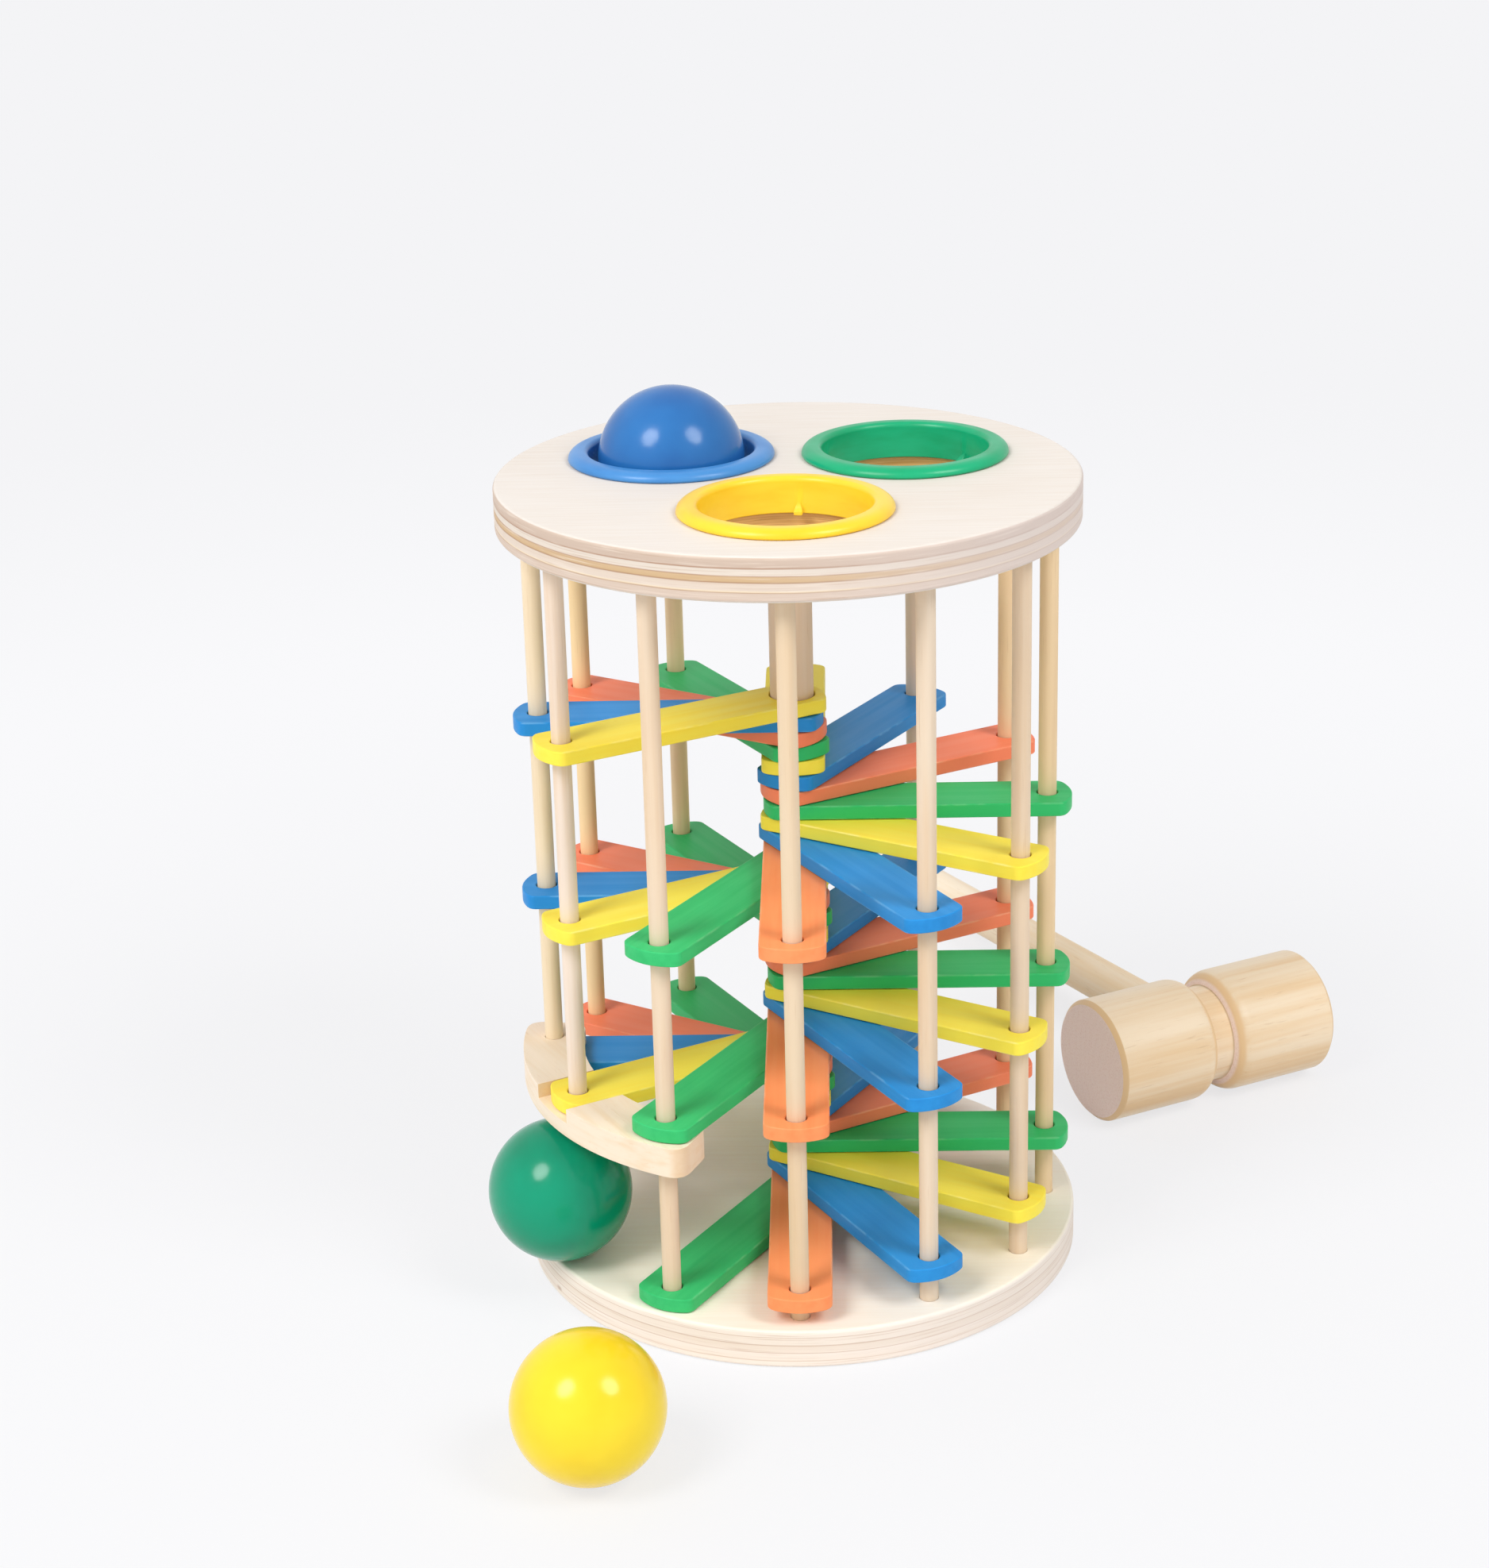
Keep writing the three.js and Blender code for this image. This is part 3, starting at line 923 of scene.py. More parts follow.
class TurnedArray(Tree):
    """Geometry Nodes tree that sets copies of a piece round an axis, each turned and raised a little more."""

    KINDS: ClassVar[dict[str, str]] = {
        "Piece": "Object", "Finish": "Material", "Centre": "Vector", "First": "Int", "Stride": "Int",
        "Count": "Int", "Start": "Float", "Turn": "Float", "Radius": "Float", "Rise": "Float",
    }
    PLAIN: ClassVar[dict[str, object]] = {
        "Centre": (0.0, 0.0, 0.0), "First": 0, "Stride": 1, "Radius": 0.0, "Rise": 0.0,
    }

    def __init__(self) -> None:
        """Builds the tree once, with a named input for each size."""
        super().__init__(bpy.data.node_groups.new("turned_array", "GeometryNodeTree"))
        face = self.tree.interface
        face.new_socket("Geometry", in_out="OUTPUT", socket_type="NodeSocketGeometry")
        self.inputs: dict[str, str] = {}
        for label, kind in self.KINDS.items():
            socket = face.new_socket(label, in_out="INPUT", socket_type="NodeSocket" + kind)
            self.inputs[label] = socket.identifier
        self.lay_out()

    def lay_out(self) -> None:
        """Joins the nodes: points on a rising circle, a turned copy on each, made real and given a finish."""
        given = self.add("NodeGroupInput")
        index = self.add("GeometryNodeInputIndex")[0]
        place = self.calc("MULTIPLY_ADD", given["Stride"], index, given["First"])
        angle = self.calc("MULTIPLY_ADD", given["Turn"], place, given["Start"])
        x, y = (self.calc("MULTIPLY", given["Radius"], self.calc(way, angle)) for way in ("COSINE", "SINE"))
        z = self.calc("MULTIPLY", given["Rise"], place)
        ring = self.add("ShaderNodeCombineXYZ", {0: x, 1: y, 2: z})[0]
        spot = self.add("ShaderNodeVectorMath", {0: ring, 1: given["Centre"]})[0]
        points = self.add("GeometryNodePoints", {"Count": given["Count"], "Position": spot})[0]
        source = self.add("GeometryNodeObjectInfo", {"Object": given["Piece"]})["Geometry"]
        spin = self.add("FunctionNodeAxisAngleToRotation", {"Axis": (0.0, 0.0, 1.0), "Angle": angle})[0]
        feeds = {"Points": points, "Instance": source, "Rotation": spin}
        copies = self.add("GeometryNodeInstanceOnPoints", feeds)[0]
        feeds = {"Geometry": copies, "Name": "piece", "Value": place}
        number = self.add("GeometryNodeStoreNamedAttribute", feeds, data_type="FLOAT", domain="INSTANCE")[0]
        real = self.add("GeometryNodeRealizeInstances", {"Geometry": number})[0]
        painted = self.add("GeometryNodeSetMaterial", {"Geometry": real, "Material": given["Finish"]})[0]
        self.add("NodeGroupOutput", {"Geometry": painted})

    def lay(self, name: str, **sizes: object) -> Piece:
        """Lays copies out and turns them into one plain mesh.

        Args:
            name: Name of the new piece.
            sizes: The tree's inputs by name, where they differ from the plain ones.

        Returns:
            The new piece.
        """
        piece = new_piece(name)
        modifier = piece.modifiers.new("copies", "NODES")
        modifier.node_group = self.tree
        for label, value in {**self.PLAIN, **sizes}.items():
            modifier[self.inputs[label]] = value
        return eased(piece)


@dataclass
class Plates:
    """The two plywood discs, with blind holes for post and dowels and open ones for the rings."""

    sides: int = 192
    edge: float = 1.2 * MM
    edge_parts: int = 6
    base_dowels: int = 10
    dowel_seat: float = 8.0 * MM
    post_seat: float = 9.0 * MM
    glue_gap: float = 0.15 * MM
    rings: tuple[str, ...] = ("blue_ring", "yellow_ring", "green_ring")
    ring_gap: float = 0.3 * MM
    ring_wall: float = 4.5 * MM
    ease: float = 0.4 * MM
    base_plies: Stops = (
        (0.00, "#f6eadf"), (0.17, "#f5e8dc"), (0.19, "#dcc5b2"), (0.21, "#f3e5d8"), (0.39, "#f5e9de"),
        (0.405, "#d0b4a0"), (0.42, "#f1e3d6"), (0.59, "#eddecf"), (0.61, "#cdb09c"), (0.63, "#f3e7db"),
        (0.81, "#f2e5d8"), (0.825, "#d2b8a4"), (0.84, "#f4e8dc"), (1.00, "#f5ebdf"),
    )
    top_plies: Stops = (
        (0.00, "#eee2d6"), (0.03, "#ecdfd3"), (0.05, "#d8c4b4"), (0.21, "#d5c1b1"), (0.225, "#bd9c82"),
        (0.25, "#ecdabd"), (0.28, "#e0d0c1"), (0.42, "#decdbd"), (0.44, "#ae886a"), (0.47, "#cfaf86"),
        (0.56, "#d1b38c"), (0.58, "#b59077"), (0.60, "#e2d5c7"), (0.72, "#dfd3c6"), (0.745, "#ab846a"),
        (0.77, "#cbb5a4"), (1.00, "#cfbaa9"),
    )

    def seats(self, mouth: float, way: int, dowels: int) -> list[Form]:
        """Cutters for the blind holes of dowels and post.

        Args:
            mouth: Height of the face that the holes open in.
            way: 1 where they go up from there, -1 where they go down.
            dowels: How many dowels end in the plate.

        Returns:
            The cutters.
        """
        holes = [(f"dowel_{i:02d}", DOWEL_R, self.dowel_seat) for i in range(dowels)]
        holes.append(("centre_post", POST_R, self.post_seat))
        cuts = []
        for node, radius, depth in holes:
            low, high = sorted((mouth - way * CUT_PAST, mouth + way * depth))
            cuts.append(drill(radius + self.glue_gap, low, high, middle(node)))
        return cuts

    def plate(self, name: str, finish: PlywoodFinish, cuts: Sequence[Form]) -> Piece:
        """Makes and dresses a disc in the place of a packed plate.

        Args:
            name: Name of the piece.
            finish: Its plywood.
            cuts: Cutters for its holes.

        Returns:
            The plate.
        """
        low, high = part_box(finish.node)
        disc = puck((high.x - low.x) / 2, low.z, high.z, self.edge, self.edge_parts, self.sides)
        plate = eased(cut(new_piece(name, disc), *cuts))
        return dress(plate, [finish.node], finish.material())

    def build(self) -> Iterator[Piece]:
        """Builds both plates.

        Yields:
            Base plate and top plate.
        """
        # Painted light: the base plate's face is made paler and warmer than the top plate's, to lighten it in
        # the shade under the stair, and its plies wash out less towards +X.
        finish = PlywoodFinish("plywood_base", "base_plate", self.base_plies, veneer="#fcf4e6",
                               veneer_dark="#f4e5d0", painted_light_grey="#f2e8e0", painted_light_grey_share=0.3)
        yield self.plate("base_disc", finish, self.seats(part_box("base_plate")[1].z, -1, self.base_dowels))
        low, high = (corner.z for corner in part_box("top_plate"))
        cuts = self.seats(low, 1, DOWELS)
        for ring in self.rings:
            hole = size(ring).x / 2 - self.ring_wall + self.ring_gap
            cuts.append(drill(hole, low - CUT_PAST, high + CUT_PAST, middle(ring), self.ease))
        yield self.plate("top_disc", PlywoodFinish("plywood_top", "top_plate", self.top_plies), cuts)


@dataclass
class Uprights:
    """Centre post and the twelve dowels."""

    array: TurnedArray
    sides: int = 40
    ease: float = 0.4 * MM
    ease_parts: int = 3
    groups: tuple[tuple[str, int, int], ...] = (
        ("long_dowels", 0, 10), ("lap_dowel", 10, 1), ("notch_dowel", 11, 1),
    )

    def rod(self, name: str, node: str) -> Piece:
        """Makes a rod on the axis, as thick and as high up as a packed one, with its grain noted.

        Args:
            name: Name of the piece.
            node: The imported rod.

        Returns:
            The rod.
        """
        low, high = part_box(node)
        radius = max((high - low).xy) / 2
        piece = new_piece(name, puck(radius, low.z, high.z, self.ease, self.ease_parts, self.sides))
        note_grain(piece)
        return piece

    def build(self) -> Iterator[Piece]:
        """Builds the post and the dowels.

        Yields:
            The post, the ten long dowels as one piece and the two that end in the arch.
        """
        wood = RodFinish("dowel_wood").material()
        post = self.rod("turned_post", "centre_post")
        mark = post.data.attributes.new("piece", "FLOAT", "POINT")
        mark.data.foreach_set("value", [float(DOWELS)] * len(post.data.vertices))
        yield dress(eased(post), ["centre_post"], wood)
        for name, first, count in self.groups:
            nodes = [f"dowel_{i:02d}" for i in range(first, first + count)]
            source = self.rod("rod", nodes[0])
            dowels = self.array.lay(name, Piece=source, Finish=wood, First=first, Count=count,
                                    Start=DOWEL_START, Turn=DOWEL_TURN, Radius=DOWEL_CIRCLE)
            discard(source)
            yield dress(dowels, nodes)


@dataclass
class Stair:
    """Spiral stair: flat painted steps, each turned by one dowel and raised by one step."""

    array: TurnedArray
    along_x: str = "step_04"
    count: int = 36
    corner: float = 2.0 * MM
    crown: float = 3.2 * MM
    hole_gap: float = 0.4 * MM
    edge: float = 0.45 * MM
    arc_parts: int = 20
    corner_parts: int = 5
    # The fourth colour of each hue is the painted shade that steps at the back of the tower are tinted with.
    paints: dict[Hue, tuple[str, str, str, str]] = field(default_factory=lambda: {
        Hue.GREEN: ("#3ac474", "#2ab164", "#83d096", "#2fbe6a"),
        Hue.ORANGE: ("#ff9c64", "#fb8950", "#fdbc97", "#ff8263"),
        Hue.BLUE: ("#2891da", "#1f7fc8", "#7fbbe6", "#258bd4"),
        Hue.YELLOW: ("#ffec52", "#ffe13e", "#fff5a6", "#ffea4e"),
    })

    def end(self, tip: float, way: int, half: float) -> list[Vector]:
        """Outline of a step's end: an arc across it with a small round at both corners.

        Args:
            tip: Furthest point along the step.
            way: 1 for the nose and -1 for the tail.
            half: Half the step's width.

        Returns:
            The points, counterclockwise.
        """
        side = tip - way * self.crown
        back = side - way * self.corner
        first, last = Vector((side, -way * half)), Vector((side, way * half))
        trim = round(self.arc_parts * self.corner / (2 * half)) or 1
        crown = bend(first, Vector((tip + way * self.crown, 0)), last, self.arc_parts)[trim:-trim]
        start = bend(Vector((back, -way * half)), first, crown[0], self.corner_parts)
        close = bend(crown[-1], last, Vector((back, way * half)), self.corner_parts)
        return start[:-1] + crown + close[1:]

    def step(self) -> Piece:
        """Makes the step that all copies are taken from: it lies along +X with its underside at height 0.

        Returns:
            The step, with its grain noted.
        """
        low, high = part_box(self.along_x)
        half, thickness = (high.y - low.y) / 2, high.z - low.z
        outline = self.end(high.x, 1, half) + self.end(low.x, -1, half)
        holes = [drill(radius + self.hole_gap, -CUT_PAST, thickness + CUT_PAST, Vector((x, 0)))
                 for radius, x in ((POST_R, 0.0), (DOWEL_R, DOWEL_CIRCLE))]
        step = eased(cut(new_piece("step", slab(outline, 0.0, thickness)), *holes), self.edge)
        note_grain(step)
        return step

    def build(self) -> Iterator[Piece]:
        """Builds the stair.

        Yields:
            One piece for each colour.
        """
        source = self.step()
        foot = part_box("step_00")[0].z
        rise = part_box("step_01")[0].z - foot
        extent = size(self.along_x)
        stride = len(self.paints)
        for first, (hue, paints) in enumerate(self.paints.items()):
            finish = StepFinish(f"paint_{hue.value}", *paints, extent.y / 2, extent.z)
            numbers = range(first, self.count, stride)
            steps = self.array.lay(
                f"{hue.value}_steps", Piece=source, Finish=finish.material(), Centre=(0.0, 0.0, foot),
                First=first, Stride=stride, Count=len(numbers),
                Start=DOWEL_START, Turn=DOWEL_TURN, Rise=rise,
            )
            yield dress(steps, [f"step_{i:02d}" for i in numbers])
        discard(source)


@dataclass
class ExitArch:
    """Curved block over the exit, with a channel for one step and a lap under it for another."""

    first_dowel: int = 10
    inside: float = 10.0 * MM
    overhang: float = 10.5 * MM
    corner: float = 6.0 * MM
    arc_parts: int = 48
    corner_parts: int = 8
    lap_gap: float = 0.3 * MM
    glue_gap: float = 0.15 * MM
    skin: float = 1.5 * MM
    edge: float = 0.5 * MM

    def outline(self, start: float, end: float, inner: float, outer: float) -> list[Vector]:
        """Plan of the arch: a piece of a ring with rounded corners.

        Args:
            start: First angle.
            end: Last angle.
            inner: Radius inside.
            outer: Radius outside.

        Returns:
            The points, counterclockwise.
        """
        points = []
        for radius, other, first, last in ((outer, inner, start, end), (inner, outer, end, start)):
            trim, on = (math.copysign(self.corner / r, last - first) for r in (radius, other))
            deep = math.copysign(self.corner, other - radius)
            sweep = last - first - 2 * trim
            run = [first + trim + sweep * i / self.arc_parts for i in range(self.arc_parts + 1)]
            curve = [polar(radius, t) for t in run]
            leave, lead = polar(radius + deep, last), polar(other - deep, last)
            points += curve
            points += bend(curve[-1], polar(radius, last), leave, self.corner_parts)[1:]
            points += bend(lead, polar(other, last), polar(other, last - on), self.corner_parts)[:-1]
        return points

    def channel(self, dowel: int, low: float, high: float, extra: float) -> Form:
        """Cutter for the room that a step takes.

        Args:
            dowel: Number of the dowel that pins the step.
            low: Lower end.
            high: Upper end.
            extra: More room on one side.

        Returns:
            The cutter.
        """
        reach = size("base_plate").x / 2 + CUT_PAST
        side = size("step_04").y / 2 + self.lap_gap
        corners = [(0, -side - extra), (reach, -side - extra), (reach, side), (0, side)]
        form = slab([Vector(corner) for corner in corners], low, high)
        return moved(form, Matrix.Rotation(dowel_angle(dowel), 4, "Z"))

    def build(self) -> Iterator[Piece]:
        """Builds the arch.

        Yields:
            The arch.
        """
        low, high = (corner.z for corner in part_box("exit_arch"))
        lap, slot, far = (self.first_dowel + i for i in range(3))
        over = self.overhang / DOWEL_CIRCLE
        start, end = dowel_angle(lap) - over, dowel_angle(far) + over
        outline = self.outline(start, end, DOWEL_CIRCLE - self.inside, size("base_plate").x / 2)
        arch = new_piece("carved_arch", slab(outline, low, high))
        notch, under, past = (low + high) / 2, low - CUT_PAST, high + CUT_PAST
        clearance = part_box("step_10")[0].z - low
        cuts = [self.channel(slot, notch, past, 0.0),
                self.channel(lap, under, notch + clearance, 2 * self.overhang)]
        for dowel, foot in ((lap, notch), (slot, low + self.skin), (far, under)):
            cuts.append(drill(DOWEL_R + self.glue_gap, foot, past, polar(DOWEL_CIRCLE, dowel_angle(dowel))))
        for form in cuts:
            cut(arch, form)
        mean = (start + end) / 2
        axes = Matrix.Rotation(mean + math.pi / 2, 3, "Z")
        finish = ArchFinish("arch_wood", Vector((*polar(DOWEL_CIRCLE, mean), notch)), axes)
        yield dress(eased(arch, self.edge), ["exit_arch"], finish.material())


@dataclass
class Rings:
    """Three moulded rings: a broad round lip, a short tube and three small nubs inside."""

    array: TurnedArray
    sides: int = 128
    wall: float = 2.1 * MM
    edge: float = 0.4 * MM
    lip_width: float = 6.6 * MM
    seat_gap: float = 0.1 * MM
    outer_round: float = 3.4 * MM
    outer_parts: int = 10
    inner_round: float = 1.7 * MM
    inner_parts: int = 8
    nub_count: int = 3
    nub_width: float = 2.6 * MM
    nub_neck: float = 0.6 * MM
    nub_height: float = 4.6 * MM
    nub_foot: float = 1.2 * MM
    nub_gap: float = 0.3 * MM
    nub_ease: float = 0.25 * MM
    looks: dict[Hue, tuple[str, str, float]] = field(default_factory=lambda: {
        Hue.BLUE: ("#488dce", "#3d81c4", 60.0),
        Hue.YELLOW: ("#ffd432", "#fcc924", 82.0),
        Hue.GREEN: ("#10ab76", "#089e68", 42.0),
    })

    def ring(self, name: str, bore: float, low: float, high: float) -> Piece:
        """Lip and tube as one turned piece on the axis.

        Args:
            name: Name of the piece.
            bore: Radius inside.
            low: Lower end of the tube.
            high: Top of the lip.

        Returns:
            The ring.
        """
        lip, tube, edge = bore + self.lip_width, bore + self.wall, self.edge
        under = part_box("top_plate")[1].z + self.seat_gap
        profile = [(bore + edge, low), (tube - edge, low), (tube, low + edge), (tube, under),
                   (lip - edge, under)]
        reach = (self.outer_round, high - under - edge)
        profile += arc((lip - self.outer_round, under + edge), reach, 0, 90, self.outer_parts)
        crown = (bore + self.inner_round, high - self.inner_round)
        profile += arc(crown, (self.inner_round, self.inner_round), 90, 180, self.inner_parts)
        return new_piece(name, turned(profile + [(bore, low + edge)], self.sides, hollow=True))

    def nub(self, tip: float, bore: float, low: float) -> Piece:
        """Small tooth on the inside of the tube, at +X from the axis: a foot, and a rib that thins upwards.

        Args:
            tip: Radius that it reaches in to.
            bore: Radius inside the ring.
            low: Lower end of the tube.

        Returns:
            The nub.
        """
        root = bore + self.wall / 2
        top, foot = low + self.nub_height, low + self.nub_foot
        corners = [(root, low), (root, foot), (root, top), (tip, foot), (tip, low)]
        form = slab([Vector(corner) for corner in corners], -self.nub_width / 2, self.nub_width / 2)
        moved(form, Matrix.Rotation(math.pi / 2, 4, "X"))
        shoulder = [vertex for vertex in form.verts if abs(vertex.co.z - foot) < ON_AXIS]
        bmesh.ops.connect_verts(form, verts=shoulder)
        for vertex in form.verts:
            if vertex.co.z > foot + ON_AXIS:
                vertex.co.y *= self.nub_neck / self.nub_width
        return eased(new_piece("nub", form), self.nub_ease)

    def build(self) -> Iterator[Piece]:
        """Builds the rings.

        Yields:
            The three rings.
        """
        tip = size("blue_ball").z / 2 + self.nub_gap
        for hue, (colour, deep, start) in self.looks.items():
            node = f"{hue.value}_ring"
            low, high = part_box(node)
            bore = (high.x - low.x) / 2 - self.lip_width
            x, y, _ = (low + high) / 2
            material = RingFinish(f"plastic_{hue.value}", colour, deep).material()
            ring = self.ring(f"moulded_{node}", bore, low.z, high.z)
            ring.data.transform(Matrix.Translation((x, y, 0)))
            source = self.nub(tip, bore, low.z)
            nubs = self.array.lay(
                "nubs", Piece=source, Finish=material, Centre=(x, y, 0.0), Count=self.nub_count,
                Start=math.radians(start), Turn=2 * math.pi / self.nub_count,
            )
            discard(source)
            worked(ring, nubs, Joinery.ADD_ON)
            yield dress(eased(ring), [node], material)


@dataclass
class Balls:
    """Three lacquered wooden balls, each with the two small flats that the lathe leaves."""

    cuts: int = 31
    flat: float = 0.08 * MM
    uneven: float = 0.05 * MM
    wave: float = 55.0
    looks: dict[Hue, tuple[str, str, Triple]] = field(default_factory=lambda: {
        Hue.BLUE: ("#2b72b6", "#2364a8", (0.5, 0.75, 0.35)),
        Hue.GREEN: ("#009873", "#008663", (0.55, 0.6, -0.4)),
        Hue.YELLOW: ("#fadc2c", "#f5d120", (-0.3, 0.85, 0.4)),
    })

    def ball(self, node: str, pole: Vector) -> Piece:
        """Ball from six square patches, so that it has no pinched poles.

        Args:
            node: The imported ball.
            pole: Direction of the lathe's axis.

        Returns:
            The ball.
        """
        centre, radius, axis = middle(node), size(node).z / 2, pole.normalized()
        form = bmesh.new()
        bmesh.ops.create_cube(form, size=2.0)
        bmesh.ops.subdivide_edges(form, edges=form.edges[:], cuts=self.cuts, use_grid_fill=True)
        for vertex in form.verts:
            out = Vector([math.tan(c * math.pi / 4) for c in vertex.co]).normalized()
            reach = radius - self.uneven * (0.5 + 0.5 * noise.noise(out * radius * self.wave))
            along = abs(out.dot(axis)) * reach
            reach *= min(1.0, (radius - self.flat) / along) if along else 1.0
            vertex.co = centre + out * reach
        return new_piece(f"lacquered_{node}", form)

    def build(self) -> Iterator[Piece]:
        """Builds the balls.

        Yields:
            The three balls.
        """
        for hue, (paint, deep, pole) in self.looks.items():
            node = f"{hue.value}_ball"
            ball = self.ball(node, Vector(pole))
            finish = BallFinish(f"lacquer_{hue.value}", paint, deep)
            yield dress(ball, [node], finish.material(), Body(node))


@dataclass
class Mallet:
    """Turned mallet that lies on the floor: a head with a waist, and a round handle."""

    joint: str = "mallet_swing"
    sides: int = 96
    length: float = 92.0 * MM
    diameter: float = 45.0 * MM
    chamfer: float = 1.6 * MM
    lead: float = 0.3 * MM
    run: float = 0.1 * MM
    sink: float = 0.12 * MM
    waist: float = 35.0 * MM
    waist_flat: float = 8.0 * MM
    shoulder: float = 6.0 * MM
    shoulder_parts: int = 12
    handle: float = 16.0 * MM
    handle_edge: float = 0.5 * MM
    handle_gap: float = 0.3 * MM
    dome_parts: int = 14
    skin: float = 4.0 * MM

    def head_profile(self) -> list[Point]:
        """Profile of the head from one end to the other, about its middle.

        Returns:
            Radius and place along the axis of each point.
        """
        radius, waist, half = self.diameter / 2, self.waist / 2, self.length / 2
        start = (self.waist_flat / 2 + self.shoulder, waist)
        curve = arc(start, (self.shoulder, radius - waist), 180, 90, self.shoulder_parts)
        face, end = radius - self.chamfer, half - self.chamfer
        side = [(r, x) for x, r in curve]
        side += [(radius, end - self.lead), (radius - self.sink, end + self.run),
                 (face + self.run, half - self.sink), (face - self.lead, half)]
        return [(r, -x) for r, x in reversed(side)] + side

    def build(self) -> Iterator[Piece]:
        """Builds the mallet.

        Yields:
            Head and handle.
        """
        joint = next(j for j in frame["joints"] if j["name"] == self.joint)
        centre = middle("mallet_head")
        handle = Vector(joint["pos_m"]) - centre
        along, out = -Vector(joint["axis"]).normalized(), handle.normalized()
        up = along.cross(out)
        axes = Matrix((along, out, up)).transposed()
        lie = Matrix.Translation(centre) @ axes.to_4x4()
        to_x, to_y = lie @ Matrix.Rotation(math.pi / 2, 4, "Y"), lie @ Matrix.Rotation(-math.pi / 2, 4, "X")
        seat = self.waist / 2 - self.skin
        radius = self.handle / 2

        head = new_piece("turned_head", moved(turned(self.head_profile(), self.sides), to_x))
        cut(head, moved(drill(radius + self.handle_gap, -seat, self.diameter, Vector((0, 0))), to_y))
        finish = BeechFinish("beech_head", centre, axes)
        yield dress(eased(head), ["mallet_head"], finish.material(), Body.MALLET)

        foot, reach, edge = self.handle_gap - seat, handle.length, self.handle_edge
        profile = [(0.0, foot), (radius - edge, foot), (radius, foot + edge)]
        profile += arc((0.0, reach), (radius, radius), 0, 90, self.dome_parts)[:-1] + [(0.0, reach + radius)]
        piece = new_piece("turned_handle", moved(turned(profile, self.sides), to_y))
        finish = BeechFinish("beech_handle", centre, Matrix((out, -along, up)).transposed(), light="#fbecd6",
                             streak="#f4dab4", end="#eacb9e", rim="#f0d3a6")
        yield dress(piece, ["mallet_handle"], finish.material(), Body.MALLET)


@dataclass(frozen=True)
class Lamp:
    """Soft lamp: where it stands as seen from the toy, its size and how much it gives a flat upper face."""

    name: str
    direction: Triple
    level: float
    distance: float = 2.0
    width: float = 0.8
    height: float = 0.9


@dataclass(frozen=True)
class Panel:
    """Broad pale panel far off: its direction, how bright its middle is and where it fades in."""

    direction: Triple
    level: float
    fade: Point = (0.2, 0.95)


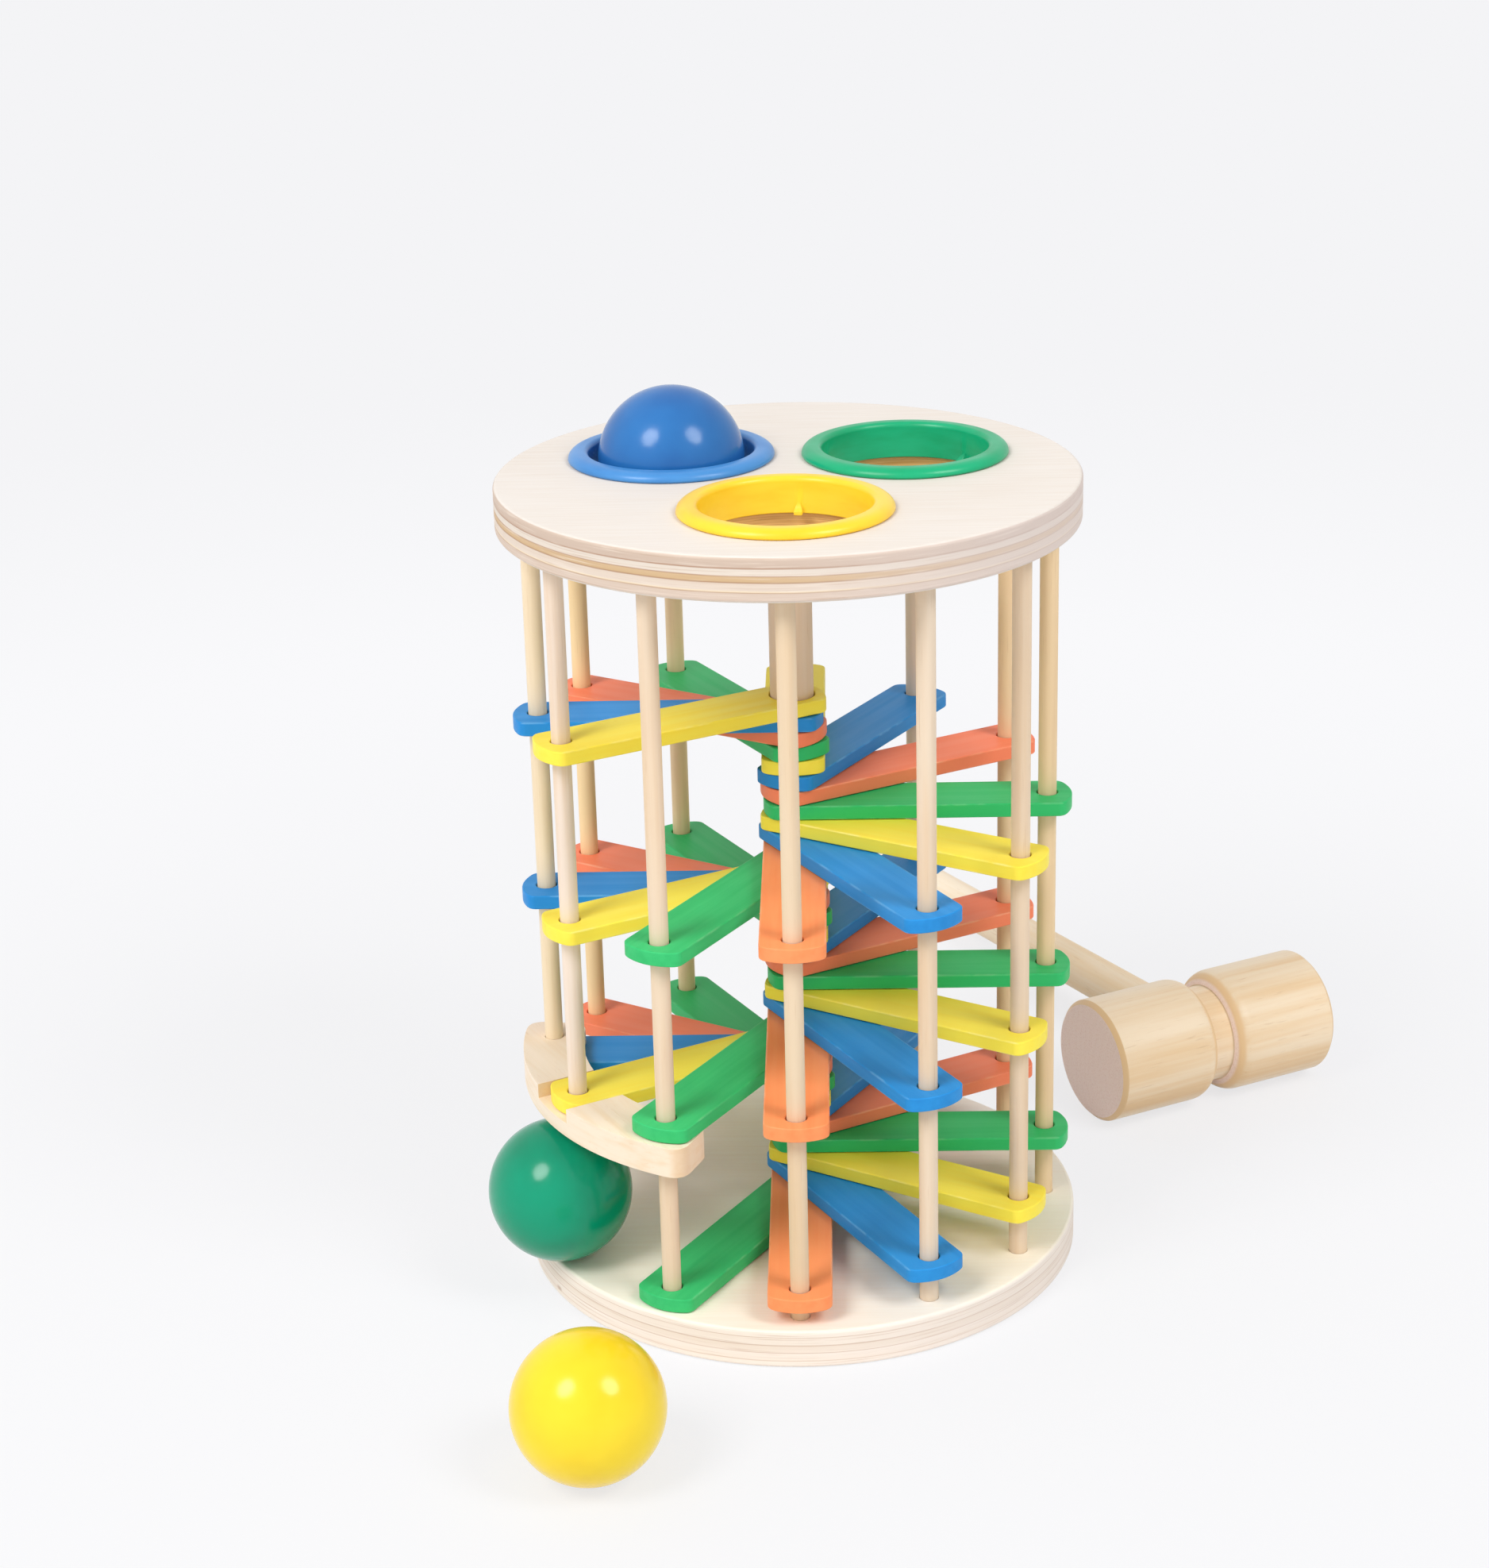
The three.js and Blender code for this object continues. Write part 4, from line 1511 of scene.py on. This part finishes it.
@dataclass
class Studio:
    """Camera, lamps, pale floor and backdrop."""

    image: tuple[int, int] = (1876, 1975)
    focal: float = 3935.39
    sensor: float = 36.0
    azimuth: float = 1.979
    elevation: float = 20.782
    roll: float = -1.556
    distance: float = 1.01308
    target: Triple = (-0.015995, 0.0, 0.162156)
    floor_half: float = 8.0
    floor_drop: float = 0.1 * MM
    floor_colour: str = "#e4e4e5"
    floor_shade: str = "#e2e2e3"
    floor_glow: str = "#fbfbfd"
    floor_rough: float = 0.9
    floor_gloss: float = 0.5
    floor_bump: float = 0.01 * MM
    far_fade: Point = (0.3, 1.3)
    glow_fade: Point = (0.22, 0.7)
    backdrop: str = "#f4f4f6"
    fill: float = 0.02
    horizon: float = 0.4
    glow: float = 0.75
    lamps: tuple[Lamp, ...] = (
        Lamp("left_softbox", (-0.48, -0.51, 0.71), 0.36),
        Lamp("right_softbox", (0.56, -0.41, 0.72), 0.3),
    )
    panels: tuple[Panel, ...] = (
        Panel((0.0, -0.82, 0.57), 0.4),
        Panel((-0.94, 0.0, 0.34), 0.4),
        Panel((0.0, 0.94, 0.34), 0.45),
    )

    def camera(self) -> None:
        """Sets the camera where the picture was taken from."""
        turn, lift, tilt = (math.radians(angle) for angle in (self.azimuth, self.elevation, self.roll))
        back = Vector((math.sin(turn) * math.cos(lift), -math.cos(turn) * math.cos(lift), math.sin(lift)))
        right = Vector((math.cos(turn), math.sin(turn), 0))
        up = back.cross(right)
        across = right * math.cos(tilt) + up * math.sin(tilt)
        above = up * math.cos(tilt) - right * math.sin(tilt)
        data = bpy.data.cameras.new("camera")
        data.sensor_width = self.sensor
        data.lens = self.focal * self.sensor / max(self.image)
        camera = bpy.data.objects.new("camera", data)
        place = Matrix((across, above, back)).transposed().to_4x4()
        place.translation = Vector(self.target) + back * self.distance
        camera.matrix_world = place
        bpy.context.scene.collection.objects.link(camera)
        bpy.context.scene.camera = camera

    def light(self) -> None:
        """Sets up the lamps at a plain level."""
        for lamp in self.lamps:
            away = Vector(lamp.direction).normalized()
            data = bpy.data.lights.new(lamp.name, "AREA")
            data.shape = "ELLIPSE"
            data.size = lamp.width
            data.size_y = lamp.height
            data.energy = lamp.level * (math.pi * lamp.distance) ** 2 / away.z
            holder = bpy.data.objects.new(lamp.name, data)
            holder.matrix_world = away.to_track_quat("Z", "Y").to_matrix().to_4x4()
            holder.matrix_world.translation = Vector((0, 0, self.target[2])) + away * lamp.distance
            bpy.context.scene.collection.objects.link(holder)

    def surround(self) -> None:
        """Gives the world a fill light that is stronger low down, its broad panels and a pale backdrop."""
        world = bpy.data.worlds.new("studio")
        world.use_nodes = True
        nodes = ShaderTree(world.node_tree)
        fill = nodes.tree.nodes["Background"]
        towards = nodes.add("ShaderNodeTexCoord")["Generated"]
        strength = nodes.span(nodes.parts(towards)[2], 0.0, 1.0, self.fill + self.horizon, self.fill)
        for panel in self.panels:
            feeds = {0: towards, 1: panel.direction}
            near = nodes.add("ShaderNodeVectorMath", feeds, operation="DOT_PRODUCT")["Value"]
            strength = nodes.calc("ADD", strength, nodes.span(near, *panel.fade, 0.0, panel.level))
        nodes.feed(fill, {"Color": "#ffffff", "Strength": strength})
        pale = nodes.add("ShaderNodeBackground", {"Color": self.backdrop})[0]
        both = nodes.blend(nodes.backdrop_rays(), fill.outputs[0], pale)
        nodes.feed(nodes.tree.nodes["World Output"], {"Surface": both})
        bpy.context.scene.world = world

    def floor(self) -> None:
        """Lays a pale floor that keeps the toy's shadow and fades into the backdrop."""
        half = self.floor_half
        form = bmesh.new()
        form.faces.new([form.verts.new((x * half, y * half, -self.floor_drop))
                        for x, y in ((-1, -1), (1, -1), (1, 1), (-1, 1))])
        floor = new_piece("floor", form)
        nodes = FinishNodes("floor_paper")
        place = nodes.seen(Seen.PLACE)
        x, y, _ = nodes.parts(place)
        colour = nodes.tint(self.floor_colour, self.floor_shade, nodes.cloud(place, 2.0, 2.0), 0.3, 0.7, 0.15)
        grain = nodes.cloud(place, 900.0, 2.0)
        paper = nodes.finish(colour, self.floor_rough, grain, self.floor_bump, self.floor_gloss)
        floor.data.materials.append(paper)
        away = nodes.away(x, y)
        far = nodes.tint(self.floor_glow, self.backdrop, away, *self.far_fade)
        glow = nodes.add("ShaderNodeEmission", {"Color": far})[0]
        bright = nodes.span(away, *self.glow_fade, self.glow, 1.0)
        share = nodes.calc("MULTIPLY", bright, nodes.backdrop_rays())
        both = nodes.blend(share, nodes.surface.outputs[0], glow)
        nodes.feed(nodes.tree.nodes["Material Output"], {"Surface": both})

    def build(self) -> None:
        """Sets up the whole studio."""
        bpy.context.scene.view_settings.view_transform = "Standard"
        self.camera()
        self.light()
        self.surround()
        self.floor()


def main() -> None:
    """Builds the studio and every sub-assembly in order, and reports each piece."""
    logging.basicConfig(level=logging.INFO, format="%(name)s: %(message)s")
    Studio().build()
    array = TurnedArray()
    for assembly in (Plates(), Uprights(array), Stair(array), ExitArch(), Rings(array), Balls(), Mallet()):
        for piece in assembly.build():
            LOG.info("%s: %s with %d faces", type(assembly).__name__, piece.name, len(piece.data.polygons))


if __name__ == "__main__":
    main()
